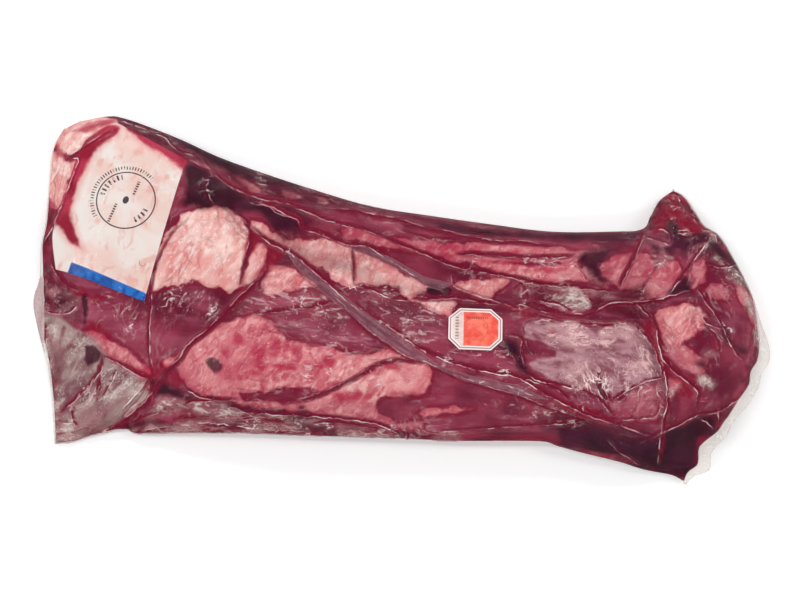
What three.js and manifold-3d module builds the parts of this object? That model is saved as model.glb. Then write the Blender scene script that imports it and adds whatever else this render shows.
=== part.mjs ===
// A whole beef tenderloin, vacuum-packed in a clear shrink bag that lies flat on a table, with a paper
// label near its open-cut left end and an octagonal sticker near its middle.
// Millimetres, +Z up. The origin is the middle of the pack's footprint, on the table. +X runs along the
// pack to its welded end, and +Y points to the long side that the raised bag corner stands out of.

import * as THREE from "three";
import { mergeVertices } from "three/addons/utils/BufferGeometryUtils.js";
import Module from "manifold-3d";

const wasm = await Module();
wasm.setup();

// Driving sizes
const WIDEST_Z = 13; // height of the pack's widest line above the table
const MEAT_RISE = 22; // rise of the meat's crown above that line, before its own bulges
const SHOULDER = 34; // how far in from its edge the top of the meat rounds over
const UNDERCUT = 15; // how far in from its edge the underside rounds down to the table
const FILM_THICK = 1.6; // two layers of loose film lying together, with the juice between them
const FLAP_Z = 1.4; // middle height of loose film that lies on the table
const FLAP_FALL = 30; // distance over which loose film comes down to the table
const RIPPLE_RISE = 1.3; // half height of the ripples in loose film
const RIPPLE_LENGTH = 21; // from crest to crest
const GRID_LONG = 66; // cells along the bag
const GRID_WIDE = 28; // cells across it
const EDGE_CROWDING = 0.085; // how much closer together the cells lie at the bag's sides

const PLEAT_SINK = 4; // how far a pleat's foot reaches under the film around it
const PLEAT_TIP = 0.18; // share of its height that a pleat keeps at its ends
const PLEAT_STEP = 11; // length of one straight stretch of a pleat
const SLIVER = 0.05; // edges shorter than this go, where a pleat meets the film

const PAPER_THICK = 0.6;
const PAPER_GAP = 0.7; // clearance between the film's flat facets and what lies on it
const LABEL_CELLS = [12, 18];
const STICKER_CELLS = [9, 8];
const STICKER_SIZE = [40, 35];
const STICKER_CUT = 9; // length that each cut corner takes off a side
const STICKER_AT = [57, -33.5];
const STICKER_TURN = -2; // degrees

// The bag's four edges, seen from above. It is a flat tube, so its cut corners stay nearly sharp.
const FRONT_EDGE = [
  [-266, -116], [-252, -115], [-243, -112], [-232, -109], [-218, -106], [-209, -106], [-202, -109],
  [-165, -109], [-115, -110], [-69, -112], [-4, -114], [40, -116], [76, -116], [107, -116.5], [119, -120],
  [137, -125], [167, -132], [184, -137], [206, -141], [218, -147.5],
];
const BACK_EDGE = [
  [-267, 137], [-257, 142], [-248, 145], [-229, 147.5], [-219, 146], [-202, 140], [-171, 127],
  [-142, 113], [-108, 100], [-70, 87], [-24, 73], [23, 65], [70, 58], [117, 52], [164, 52], [188, 54],
  [195, 65], [203, 79], [215, 89],
];
const LEFT_EDGE = [
  [-266, -116], [-267, -97], [-270, -72], [-273, -53], [-279, -34], [-284, -15], [-285.5, -5],
  [-284.5, 3], [-281, 15], [-281, 41], [-278, 60], [-277, 90], [-275, 119], [-267, 137],
];
const RIGHT_EDGE = [
  [218, -147.5], [224, -141], [236, -136], [238, -123], [249, -111], [255, -100], [266, -87], [275, -73],
  [278, -62], [284.5, -52], [284.5, -40], [280, -25], [275, -8], [268, 11], [257, 34], [249, 48],
  [238, 56], [231, 69], [224, 82], [215, 89],
];

// The outline of all that is filled, with meat or with juice, inside the bag.
const FILLED = [
  [-258, 135], [-229, 145], [-203, 138], [-171, 125], [-142, 111], [-108, 98], [-70, 85], [-24, 71],
  [23, 63], [70, 56], [117, 50], [164, 50], [188, 52], [197, 65], [205, 78], [213, 85], [221, 79],
  [229, 67], [236, 54], [247, 46], [256, 32], [266, 11], [273, -8], [276, -26], [272, -50], [264, -72],
  [249, -93], [239, -114], [226, -121], [222, -134], [216, -143], [204, -138], [184, -134], [167, -129],
  [137, -122], [119, -117], [107, -113.5], [76, -113], [40, -113], [-4, -111], [-69, -109], [-115, -107],
  [-165, -106], [-218, -103], [-243, -107], [-260, -104], [-265, -72], [-268, -30], [-271, 15],
  [-271, 60], [-270, 90], [-268, 115],
];

// Bulges and hollows of the meat under the film: centre, half lengths along and across, turn in degrees, rise.
const BULGES = [
  { at: [-212, 50], reach: [44, 60], turn: 0, rise: 6 }, // head of the muscle under the label
  { at: [-151, 30], reach: [26, 30], turn: 0, rise: 5 }, // fat cap beside the label
  { at: [-95, -68], reach: [72, 30], turn: -6, rise: 11 }, // lower lobe
  { at: [48, -66], reach: [80, 34], turn: -8, rise: 8 }, // main muscle
  { at: [150, -48], reach: [44, 30], turn: -6, rise: 6 }, // silverskin swell
  { at: [232, -46], reach: [30, 42], turn: 0, rise: 11 }, // folded tail at the welded end
  { at: [10, 38], reach: [170, 15], turn: -12, rise: 6 }, // side strap along the back
  { at: [190, 24], reach: [36, 15], turn: -12, rise: 5 },
];

// Corners of the bag that the meat doesn't reach into: centre, half lengths along and across, turn in degrees.
const SLACK = [
  { at: [-264, -112], reach: [88, 84], turn: 0 },
  { at: [218, -150], reach: [52, 36], turn: -14 },
  { at: [214, 98], reach: [26, 26], turn: 0 },
];

// Valleys between the muscles: path, half width, depth.
const VALLEYS = [
  { path: [[-131, 60], [-107, 42], [-54, 20], [23, -8], [100, -14], [180, -11]], reach: 12, depth: 7 },
  { path: [[180, -11], [192, -42], [201, -70], [203, -113]], reach: 13, depth: 8 },
  { path: [[-90, 24], [-137, -22], [-171, -55], [-196, -90]], reach: 12, depth: 5 },
  { path: [[-157, 108], [-120, 78], [-85, 67], [-20, 50]], reach: 10, depth: 4 },
];

// Pleats of spare film that stand up from the pack: path, width of the foot, height.
const PLEATS = [
  { path: [[-129, 60], [-101, 34], [-84, 25], [-62, 8], [-36, -15], [-6, -35], [16, -50], [43, -62],
    [68, -69]], wide: 9, high: 3.6 },
  { path: [[68, -69], [90, -74], [111, -86], [141, -100], [177, -112]], wide: 7, high: 3 },
  { path: [[-88, 26], [-99, 16], [-123, -9], [-148, -35], [-161, -45], [-183, -72], [-201, -92]],
    wide: 6, high: 3 },
  { path: [[99, -14], [131, -19], [162, -12], [203, -9], [221, -2]], wide: 5, high: 2.6 },
  { path: [[180, -12], [198, -45], [203, -61], [218, -77], [228, -84]], wide: 6, high: 3 },
  { path: [[228, -1], [239, -18], [254, -48], [262, -58]], wide: 5, high: 2.6 },
  { path: [[241, 44], [231, 27], [218, 13], [209, -3]], wide: 5, high: 2.6 },
  { path: [[201, -67], [205, -94], [201, -111], [199, -128]], wide: 5, high: 2.4 },
  { path: [[-157, 107], [-138, 89], [-104, 71], [-57, 53], [-10, 38], [44, 17]], wide: 6, high: 2.8 },
  { path: [[-185, -14], [-187, -32], [-187, -53], [-186, -70]], wide: 5, high: 2.6 },
];

// The label's corners, seen from above: it is turned a little, and dips under the film at the left.
const LABEL_CORNERS = { left: [-262, 19], right: [-196, -11], backLeft: [-222, 133], backRight: [-166, 101] };

function edge(points) {
  return new THREE.SplineCurve(points.map(([x, y]) => new THREE.Vector2(x, y)));
}

// A point of the bag seen from above, where the four edges are the sides of a unit square.
const bagEdges = [FRONT_EDGE, BACK_EDGE, LEFT_EDGE, RIGHT_EDGE].map(edge);
function inPlan(along, across) {
  const [front, back] = bagEdges.slice(0, 2).map((curve) => curve.getPointAt(along));
  const [left, right] = bagEdges.slice(2).map((curve) => curve.getPointAt(across));
  const corner = (curve, end) => curve.getPoint(end);
  const lengthwise = left.clone().lerp(right, along);
  const crosswise = front.clone().lerp(back, across);
  const nearSide = corner(bagEdges[0], 0).lerp(corner(bagEdges[0], 1), along);
  const farSide = corner(bagEdges[1], 0).lerp(corner(bagEdges[1], 1), along);
  return lengthwise.add(crosswise).sub(nearSide.lerp(farSide, across));
}

function nearestOn(a, b, x, y) {
  const [dx, dy] = [b.x - a.x, b.y - a.y];
  const share = THREE.MathUtils.clamp(((x - a.x) * dx + (y - a.y) * dy) / (dx * dx + dy * dy), 0, 1);
  return Math.hypot(a.x + share * dx - x, a.y + share * dy - y);
}

function distanceTo(line, x, y) {
  let least = Infinity;
  for (let i = 1; i < line.length; i++) least = Math.min(least, nearestOn(line[i - 1], line[i], x, y));
  return least;
}

// How far a point lies inside the filled outline. It is negative in the loose film outside it.
const filledLine = new THREE.CatmullRomCurve3(
  FILLED.map(([x, y]) => new THREE.Vector3(x, y, 0)), true, "centripetal",
).getPoints(FILLED.length * 4);
function depthInside(x, y) {
  let inside = false;
  for (let i = 1; i < filledLine.length; i++) {
    const [a, b] = [filledLine[i - 1], filledLine[i]];
    const crosses = a.y > y !== b.y > y && x < a.x + ((y - a.y) / (b.y - a.y)) * (b.x - a.x);
    if (crosses) inside = !inside;
  }
  return (inside ? 1 : -1) * distanceTo(filledLine, x, y);
}

const quarterRound = (share) => Math.sqrt(1 - (1 - THREE.MathUtils.clamp(share, 0, 1)) ** 2);

// A smooth mound of height one.
function mound({ at, reach, turn }, x, y) {
  const angle = THREE.MathUtils.degToRad(turn);
  const [dx, dy] = [x - at[0], y - at[1]];
  const along = (dx * Math.cos(angle) + dy * Math.sin(angle)) / reach[0];
  const across = (dy * Math.cos(angle) - dx * Math.sin(angle)) / reach[1];
  return Math.exp(-(along ** 2 + across ** 2));
}

// One where the meat fills the bag, and nearly nothing in its slack corners.
function fullness(x, y) {
  return SLACK.reduce((product, one) => product * (1 - mound(one, x, y)), 1);
}

const valleyLines = VALLEYS.map(({ path }) => edge(path).getPoints(path.length * 4));
function relief(x, y) {
  const raised = BULGES.reduce((sum, one) => sum + one.rise * mound(one, x, y), 0);
  const sunk = VALLEYS.reduce(
    (sum, { reach, depth }, i) => sum + depth * Math.exp(-((distanceTo(valleyLines[i], x, y) / reach) ** 2)), 0,
  );
  return raised - sunk;
}

// Middle height of the film where its two layers meet.
function seamHeight(x, y, depth) {
  const lifted = fullness(x, y) * (1 - THREE.MathUtils.smoothstep(-depth, 0, FLAP_FALL));
  const ripple = 1 + Math.sin((2 * Math.PI * (x + 0.7 * y)) / RIPPLE_LENGTH);
  return THREE.MathUtils.lerp(FLAP_Z + RIPPLE_RISE * ripple, WIDEST_Z, lifted);
}

function underside(x, y) {
  const depth = depthInside(x, y);
  return (seamHeight(x, y, depth) - FILM_THICK / 2) * (1 - quarterRound(depth / UNDERCUT));
}

function topside(x, y) {
  const depth = depthInside(x, y);
  const crown = quarterRound(depth / SHOULDER) * fullness(x, y) * (MEAT_RISE + relief(x, y));
  return seamHeight(x, y, depth) + FILM_THICK / 2 + crown;
}

// Moves each vertex of a closed three.js geometry to place(x, y, z), and makes it a solid.
function shaped(geometry, place) {
  const bare = geometry.clone();
  bare.deleteAttribute("normal");
  bare.deleteAttribute("uv");
  const position = bare.attributes.position;
  for (let i = 0; i < position.count; i++)
    position.setXYZ(i, ...place(position.getX(i), position.getY(i), position.getZ(i)));
  const merged = mergeVertices(bare, 1e-3);
  const vertProperties = merged.attributes.position.array;
  const triVerts = new Uint32Array(merged.index.array);
  return new wasm.Manifold(new wasm.Mesh({ numProp: 3, vertProperties, triVerts }));
}

const crowded = (share) => share - EDGE_CROWDING * Math.sin(2 * Math.PI * share);

function filledBag() {
  const block = new THREE.BoxGeometry(1, 1, 1, GRID_LONG, GRID_WIDE, 1);
  return shaped(block, (x, y, z) => {
    const plan = inPlan(crowded(x + 0.5), crowded(y + 0.5));
    return [plan.x, plan.y, (z > 0 ? topside : underside)(plan.x, plan.y)];
  });
}

// One pleat: a three-cornered bar along its path, with its crest up and its ends drawn out low.
function pleat({ path, wide, high }) {
  const curve = edge(path);
  const steps = Math.round(curve.getLength() / PLEAT_STEP);
  const bar = new THREE.CylinderGeometry(1, 1, 1, 3, steps);
  return shaped(bar, (x, y, z) => {
    const share = 0.5 - y;
    const middle = curve.getPointAt(share);
    const ahead = curve.getTangentAt(share);
    const full = PLEAT_TIP + (1 - PLEAT_TIP) * Math.sqrt(Math.sin(Math.PI * share));
    const aside = Math.abs(x) < 0.1 ? 0 : (Math.sign(x) * full * wide) / 2;
    const isCrest = z > 0.5;
    const isCapMiddle = Math.hypot(x, z) < 0.1;
    const [px, py] = [middle.x - ahead.y * aside, middle.y + ahead.x * aside];
    const lift = isCrest ? high * full : isCapMiddle ? 0 : -PLEAT_SINK;
    return [px, py, topside(px, py) + lift];
  });
}

// A thin sheet that lies on the pack, over a quadrilateral of the plan.
function draped(cells, planOf) {
  const block = new THREE.BoxGeometry(1, 1, 1, cells[0], cells[1], 1);
  return shaped(block, (x, y, z) => {
    const [px, py] = planOf(x + 0.5, y + 0.5);
    return [px, py, topside(px, py) + PAPER_GAP + (z > 0 ? PAPER_THICK : 0)];
  });
}

function paperLabel() {
  const { left, right, backLeft, backRight } = LABEL_CORNERS;
  const mix = (a, b, share) => a + (b - a) * share;
  return draped(LABEL_CELLS, (u, v) =>
    [0, 1].map((axis) => mix(mix(left[axis], right[axis], u), mix(backLeft[axis], backRight[axis], u), v)),
  );
}

function octagonalSticker() {
  const [halfLong, halfWide] = STICKER_SIZE.map((size) => size / 2);
  const turn = THREE.MathUtils.degToRad(STICKER_TURN);
  const corners = [];
  for (const [sx, sy] of [[1, -1], [1, 1], [-1, 1], [-1, -1]]) {
    const onLongSide = [sx * (halfLong - STICKER_CUT), sy * halfWide];
    const onShortSide = [sx * halfLong, sy * (halfWide - STICKER_CUT)];
    corners.push(...(sx * sy < 0 ? [onLongSide, onShortSide] : [onShortSide, onLongSide]));
  }
  const outline = new THREE.Shape(corners.map(([x, y]) => new THREE.Vector2(x, y)));
  const cutter = new THREE.ExtrudeGeometry(outline, { depth: 120, bevelEnabled: false });
  cutter.rotateZ(turn).translate(...STICKER_AT, 0);
  const sheet = draped(STICKER_CELLS, (u, v) => {
    const [dx, dy] = [(2 * u - 1) * (halfLong + 1), (2 * v - 1) * (halfWide + 1)];
    return [
      STICKER_AT[0] + dx * Math.cos(turn) - dy * Math.sin(turn),
      STICKER_AT[1] + dx * Math.sin(turn) + dy * Math.cos(turn),
    ];
  });
  return sheet.intersect(shaped(cutter, (x, y, z) => [x, y, z]));
}

function named(name, solid, color, roughness) {
  const { vertProperties, triVerts } = solid.getMesh();
  const geometry = new THREE.BufferGeometry();
  geometry.setAttribute("position", new THREE.BufferAttribute(vertProperties, 3));
  geometry.setIndex(new THREE.BufferAttribute(triVerts, 1));
  geometry.computeVertexNormals();
  const mesh = new THREE.Mesh(geometry, new THREE.MeshStandardMaterial({ color, roughness, metalness: 0 }));
  mesh.name = name;
  return mesh;
}

const bag = PLEATS.map(pleat).reduce((whole, one) => whole.add(one), filledBag()).simplify(SLIVER);

const pack = new THREE.Group();
pack.add(
  named("sealed_bag", bag, 0x7c2a3e, 0.3),
  named("paper_label", paperLabel(), 0xe9ddd3, 0.6),
  named("octagonal_sticker", octagonalSticker(), 0xe9604e, 0.5),
);

export default pack;
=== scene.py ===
# %% [markdown]
# # A beef tenderloin in a vacuum bag
#
# A whole raw tenderloin lies in a clear shrink bag on a white table. Vacuum has drawn the film on to the
# meat, so what the eye reads is one wet, dark red form, crossed by pleats where there was too much film.
# The looks are built in layers, as the real pack is: the meat with its fat and juice, a paper label on it,
# the clear film round both, and a sticker on the film.

import math
from collections import namedtuple

import bpy
import numpy as np
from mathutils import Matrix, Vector


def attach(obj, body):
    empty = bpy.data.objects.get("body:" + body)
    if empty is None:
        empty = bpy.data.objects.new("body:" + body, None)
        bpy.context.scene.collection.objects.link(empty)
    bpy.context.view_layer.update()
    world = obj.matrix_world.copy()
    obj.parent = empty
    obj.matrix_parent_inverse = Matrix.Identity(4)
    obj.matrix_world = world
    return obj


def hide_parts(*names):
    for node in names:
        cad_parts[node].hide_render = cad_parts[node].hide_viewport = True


MM = 0.001
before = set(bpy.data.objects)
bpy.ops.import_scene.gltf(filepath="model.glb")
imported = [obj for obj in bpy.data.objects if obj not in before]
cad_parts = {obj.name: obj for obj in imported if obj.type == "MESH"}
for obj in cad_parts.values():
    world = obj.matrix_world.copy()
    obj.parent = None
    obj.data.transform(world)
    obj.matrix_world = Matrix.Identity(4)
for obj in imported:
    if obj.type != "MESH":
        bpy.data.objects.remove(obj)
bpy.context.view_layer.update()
bpy.ops.object.select_all(action="DESELECT")
print("solids loaded:", sorted(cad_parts))


def colour(hex_code):
    """A screen colour such as "c88a84", as the linear values that Blender's sockets take."""
    shares = [int(hex_code[i : i + 2], 16) / 255 for i in (0, 2, 4)]
    return [s / 12.92 if s < 0.04045 else ((s + 0.055) / 1.055) ** 2.4 for s in shares] + [1.0]


# %% [markdown]
# ## The camera
#
# The camera comes first, because the fat, the pleats and the juice are placed by where the photograph shows
# them. It looks down steeply from the front through a long lens, so the pack keeps its shape. The helper
# below says where on the photograph, in its pixels, a point of the pack is seen.

# %% Camera
PHOTO_WIDE, PHOTO_HIGH = 800, 600
LENS, SENSOR = 100, 36
DOWN = math.radians(75)
SEEN_WIDE = 616 * MM
AIM = Vector((-0.4, -7.3, 25.0)) * MM

away = SEEN_WIDE * LENS / SENSOR
bpy.ops.object.camera_add(
    location=AIM + away * Vector((0, -math.cos(DOWN), math.sin(DOWN))),
    rotation=(math.pi / 2 - DOWN, 0, 0),
)
camera = bpy.context.object
camera.data.lens = LENS
camera.data.sensor_width = SENSOR
bpy.context.scene.camera = camera
bpy.context.view_layer.update()
PIXEL = SEEN_WIDE / PHOTO_WIDE
print(f"one pixel is {PIXEL / MM:.2f} mm at the pack")


def on_photo(points):
    """The pixels, across and down, at which the camera sees points of the pack."""
    to_camera = np.array(camera.matrix_world.inverted())
    seen = points @ to_camera[:3, :3].T + to_camera[:3, 3]
    scale = LENS / SENSOR * PHOTO_WIDE / -seen[:, 2]
    return np.stack([PHOTO_WIDE / 2 + seen[:, 0] * scale, PHOTO_HIGH / 2 - seen[:, 1] * scale], axis=1)


# %% [markdown]
# ## The bag in plan
#
# A sheet of film could be modelled by pulling vertices about by hand. It is quicker to stretch a grid between
# four curves, the bag's edges, as a drum skin is stretched on its hoop: every line of the grid then follows
# the bag. The points are the same as in the solid, in millimetres, so film and solid share their outline.

# %% Edges of the bag
FRONT_EDGE = [
    (-266, -116), (-252, -115), (-243, -112), (-232, -109), (-218, -106), (-209, -106), (-202, -109),
    (-165, -109), (-115, -110), (-69, -112), (-4, -114), (40, -116), (76, -116), (107, -116.5), (119, -120),
    (137, -125), (167, -132), (184, -137), (206, -141), (218, -147.5),
]  # fmt: skip
BACK_EDGE = [
    (-267, 137), (-257, 142), (-248, 145), (-229, 147.5), (-219, 146), (-202, 140), (-171, 127),
    (-142, 113), (-108, 100), (-70, 87), (-24, 73), (23, 65), (70, 58), (117, 52), (164, 52), (188, 54),
    (195, 65), (203, 79), (215, 89),
]  # fmt: skip
LEFT_EDGE = [
    (-266, -116), (-267, -97), (-270, -72), (-273, -53), (-279, -34), (-284, -15), (-285.5, -5),
    (-284.5, 3), (-281, 15), (-281, 41), (-278, 60), (-277, 90), (-275, 119), (-267, 137),
]  # fmt: skip
RIGHT_EDGE = [
    (218, -147.5), (224, -141), (236, -136), (238, -123), (249, -111), (255, -100), (266, -87),
    (275, -73), (278, -62), (284.5, -52), (284.5, -40), (280, -25), (275, -8), (268, 11), (257, 34),
    (249, 48), (238, 56), (231, 69), (224, 82), (215, 89),
]  # fmt: skip


def smooth_line(points, per_span=12):
    """A curve through the points, as closely spaced points on it."""
    ends = np.array([points[0], *points, points[-1]], float)
    t = np.linspace(0, 1, per_span, endpoint=False)[:, None]
    spans = []
    for a, b, c, d in zip(ends, ends[1:], ends[2:], ends[3:]):
        cubic = (3 * b - a - 3 * c + d) * t**3 + (2 * a - 5 * b + 4 * c - d) * t**2 + (c - a) * t + 2 * b
        spans.append(cubic / 2)
    return np.concatenate([*spans, ends[-1:]])


def at_share(line, share):
    """Points at shares of a line's length."""
    steps = np.hypot(*np.diff(line, axis=0).T)
    run = np.concatenate([[0], np.cumsum(steps)]) / steps.sum()
    return np.stack([np.interp(share, run, line[:, i]) for i in (0, 1)], axis=-1)


def in_plan(along, across):
    """Points of the bag in plan, in metres, from shares along and across it."""
    front, back = (at_share(smooth_line(edge), along) for edge in (FRONT_EDGE, BACK_EDGE))
    left, right = (at_share(smooth_line(edge), across) for edge in (LEFT_EDGE, RIGHT_EDGE))
    u, v = along[..., None], across[..., None]
    near = np.array(FRONT_EDGE[0]) * (1 - u) + np.array(FRONT_EDGE[-1]) * u
    far = np.array(BACK_EDGE[0]) * (1 - u) + np.array(BACK_EDGE[-1]) * u
    return (left * (1 - u) + right * u + front * (1 - v) + back * v - near * (1 - v) - far * v) * MM


# %% [markdown]
# ## Sheets that lie on the solid
#
# Each sheet starts as a plain grid primitive. Its vertices are spread over the bag's plan, a Shrinkwrap
# modifier drops them on to the solid, and a blur along the grid's rows and columns melts the solid's facets
# away. A sheet from above and one from below, welded at their rims, make a closed shell.

# %% Laying and welding sheets
RIM_INSET = 0.004  # share of the plan by which the drop keeps clear of the solid's very edge
DROP_FROM = 0.1
HIGHEST, LOWEST = 0.06, 0.2 * MM
WELD_WITHIN = 0.02 * MM


def blurred(values, reach):
    """A grid of values, blurred along its rows and columns. Reach is in cells."""
    shares = np.exp(-0.5 * (np.arange(-3 * reach, 3 * reach + 1) / reach) ** 2)
    shares /= shares.sum()
    for axis in (0, 1):
        pad = [(3 * reach, 3 * reach) if axis == i else (0, 0) for i in (0, 1)]
        padded = np.pad(values, pad, mode="reflect", reflect_type="odd")
        values = np.apply_along_axis(lambda row: np.convolve(row, shares, "valid"), axis, padded)
    return values


def dropped_on(sheet, target, above):
    """Drops a sheet's vertices straight on to a target, from above or from below."""
    bpy.context.view_layer.objects.active = sheet
    drop = sheet.modifiers.new("lie on the target", "SHRINKWRAP")
    drop.target = target
    drop.wrap_method = "PROJECT"
    drop.use_project_z = True
    drop.use_negative_direction = above
    drop.use_positive_direction = not above
    bpy.ops.object.modifier_apply(modifier=drop.name)


def laid_sheet(name, cells, above, plan, target=None, blur=3):
    """A grid that lies on a target or under it. Returns the object and its points as rows and columns."""
    bpy.ops.object.select_all(action="DESELECT")
    bpy.ops.mesh.primitive_grid_add(x_subdivisions=cells[0], y_subdivisions=cells[1], size=2)
    sheet = bpy.context.object
    sheet.name = name
    flat = np.array([v.co for v in sheet.data.vertices])
    order = np.lexsort((flat[:, 0].round(5), flat[:, 1].round(5)))
    u, v = ((flat[order, i].reshape(cells[1] + 1, -1) + 1) / 2 for i in (0, 1))
    inset = [RIM_INSET + (1 - 2 * RIM_INSET) * share for share in (u, v)]
    start = np.dstack([plan(*inset), np.full(u.shape, DROP_FROM if above else -DROP_FROM)])
    write_points(sheet, order, start)
    dropped_on(sheet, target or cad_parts["sealed_bag"], above)
    landed = np.array([v.co for v in sheet.data.vertices])[order].reshape(start.shape)
    heights = blurred(np.clip(landed[..., 2], 0, HIGHEST), blur)
    points = np.dstack([plan(u, v), np.maximum(heights, LOWEST)])
    write_points(sheet, order, points)
    return sheet, order, points


def write_points(sheet, order, points):
    """Moves a sheet's vertices to points given as rows and columns."""
    flat = np.empty((len(order), 3))
    flat[order] = points.reshape(-1, 3)
    sheet.data.vertices.foreach_set("co", flat.ravel())
    sheet.data.update()


def welded(name, top, bottom, keep_below):
    """Joins two sheets at their rims into one closed shell, and thins the faces of its underside."""
    for face in bottom.data.polygons:
        face.flip()
    edge_ends = np.array([edge.vertices[:] for edge in bottom.data.edges]).ravel()
    inside_rim = np.flatnonzero(np.bincount(edge_ends) == 4)  # fewer edges meet on the grid's rim
    under = bottom.vertex_groups.new(name="under")
    under.add(inside_rim.tolist(), 1.0, "REPLACE")
    bpy.ops.object.select_all(action="DESELECT")
    bottom.select_set(True)
    top.select_set(True)
    bpy.context.view_layer.objects.active = top
    bpy.ops.object.join()
    bpy.ops.object.mode_set(mode="EDIT")
    bpy.ops.mesh.select_all(action="SELECT")
    bpy.ops.mesh.remove_doubles(threshold=WELD_WITHIN)
    bpy.ops.mesh.normals_make_consistent(inside=False)
    bpy.ops.object.mode_set(mode="OBJECT")
    thin = top.modifiers.new("fewer faces below", "DECIMATE")
    thin.vertex_group = "under"
    thin.ratio = keep_below
    bpy.ops.object.modifier_apply(modifier=thin.name)
    bpy.ops.object.mode_set(mode="EDIT")
    bpy.ops.mesh.select_mode(type="EDGE")
    bpy.ops.mesh.select_all(action="DESELECT")
    bpy.ops.mesh.select_non_manifold()
    bpy.ops.mesh.select_mode(type="FACE")  # only a stray face at a corner has all its edges selected
    bpy.ops.mesh.delete(type="FACE")
    bpy.ops.mesh.select_mode(type="VERT")
    bpy.ops.object.mode_set(mode="OBJECT")
    bpy.ops.object.shade_smooth()
    top.name = top.data.name = name
    print(name, "has", len(top.data.polygons), "faces")
    return top


def set_attribute(piece, name, values):
    """Stores a number at every vertex of a piece, for its material."""
    layer = piece.data.attributes.new(name, "FLOAT", "POINT")
    layer.data.foreach_set("value", np.asarray(values, np.float32).ravel())


# %% [markdown]
# ## Pleats, creases and seams of juice
#
# Shrinking film can't follow a lumpy form, so it gathers into pleats and thin creases that pull from lump to
# lump. Each one is a path in the photograph's pixels with a half width and a rise in millimetres. A pleat
# leans: one side is steep and the other slides off gently. Its shine is how much the crest catches the light,
# and its juice how much has run in beside it.

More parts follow.
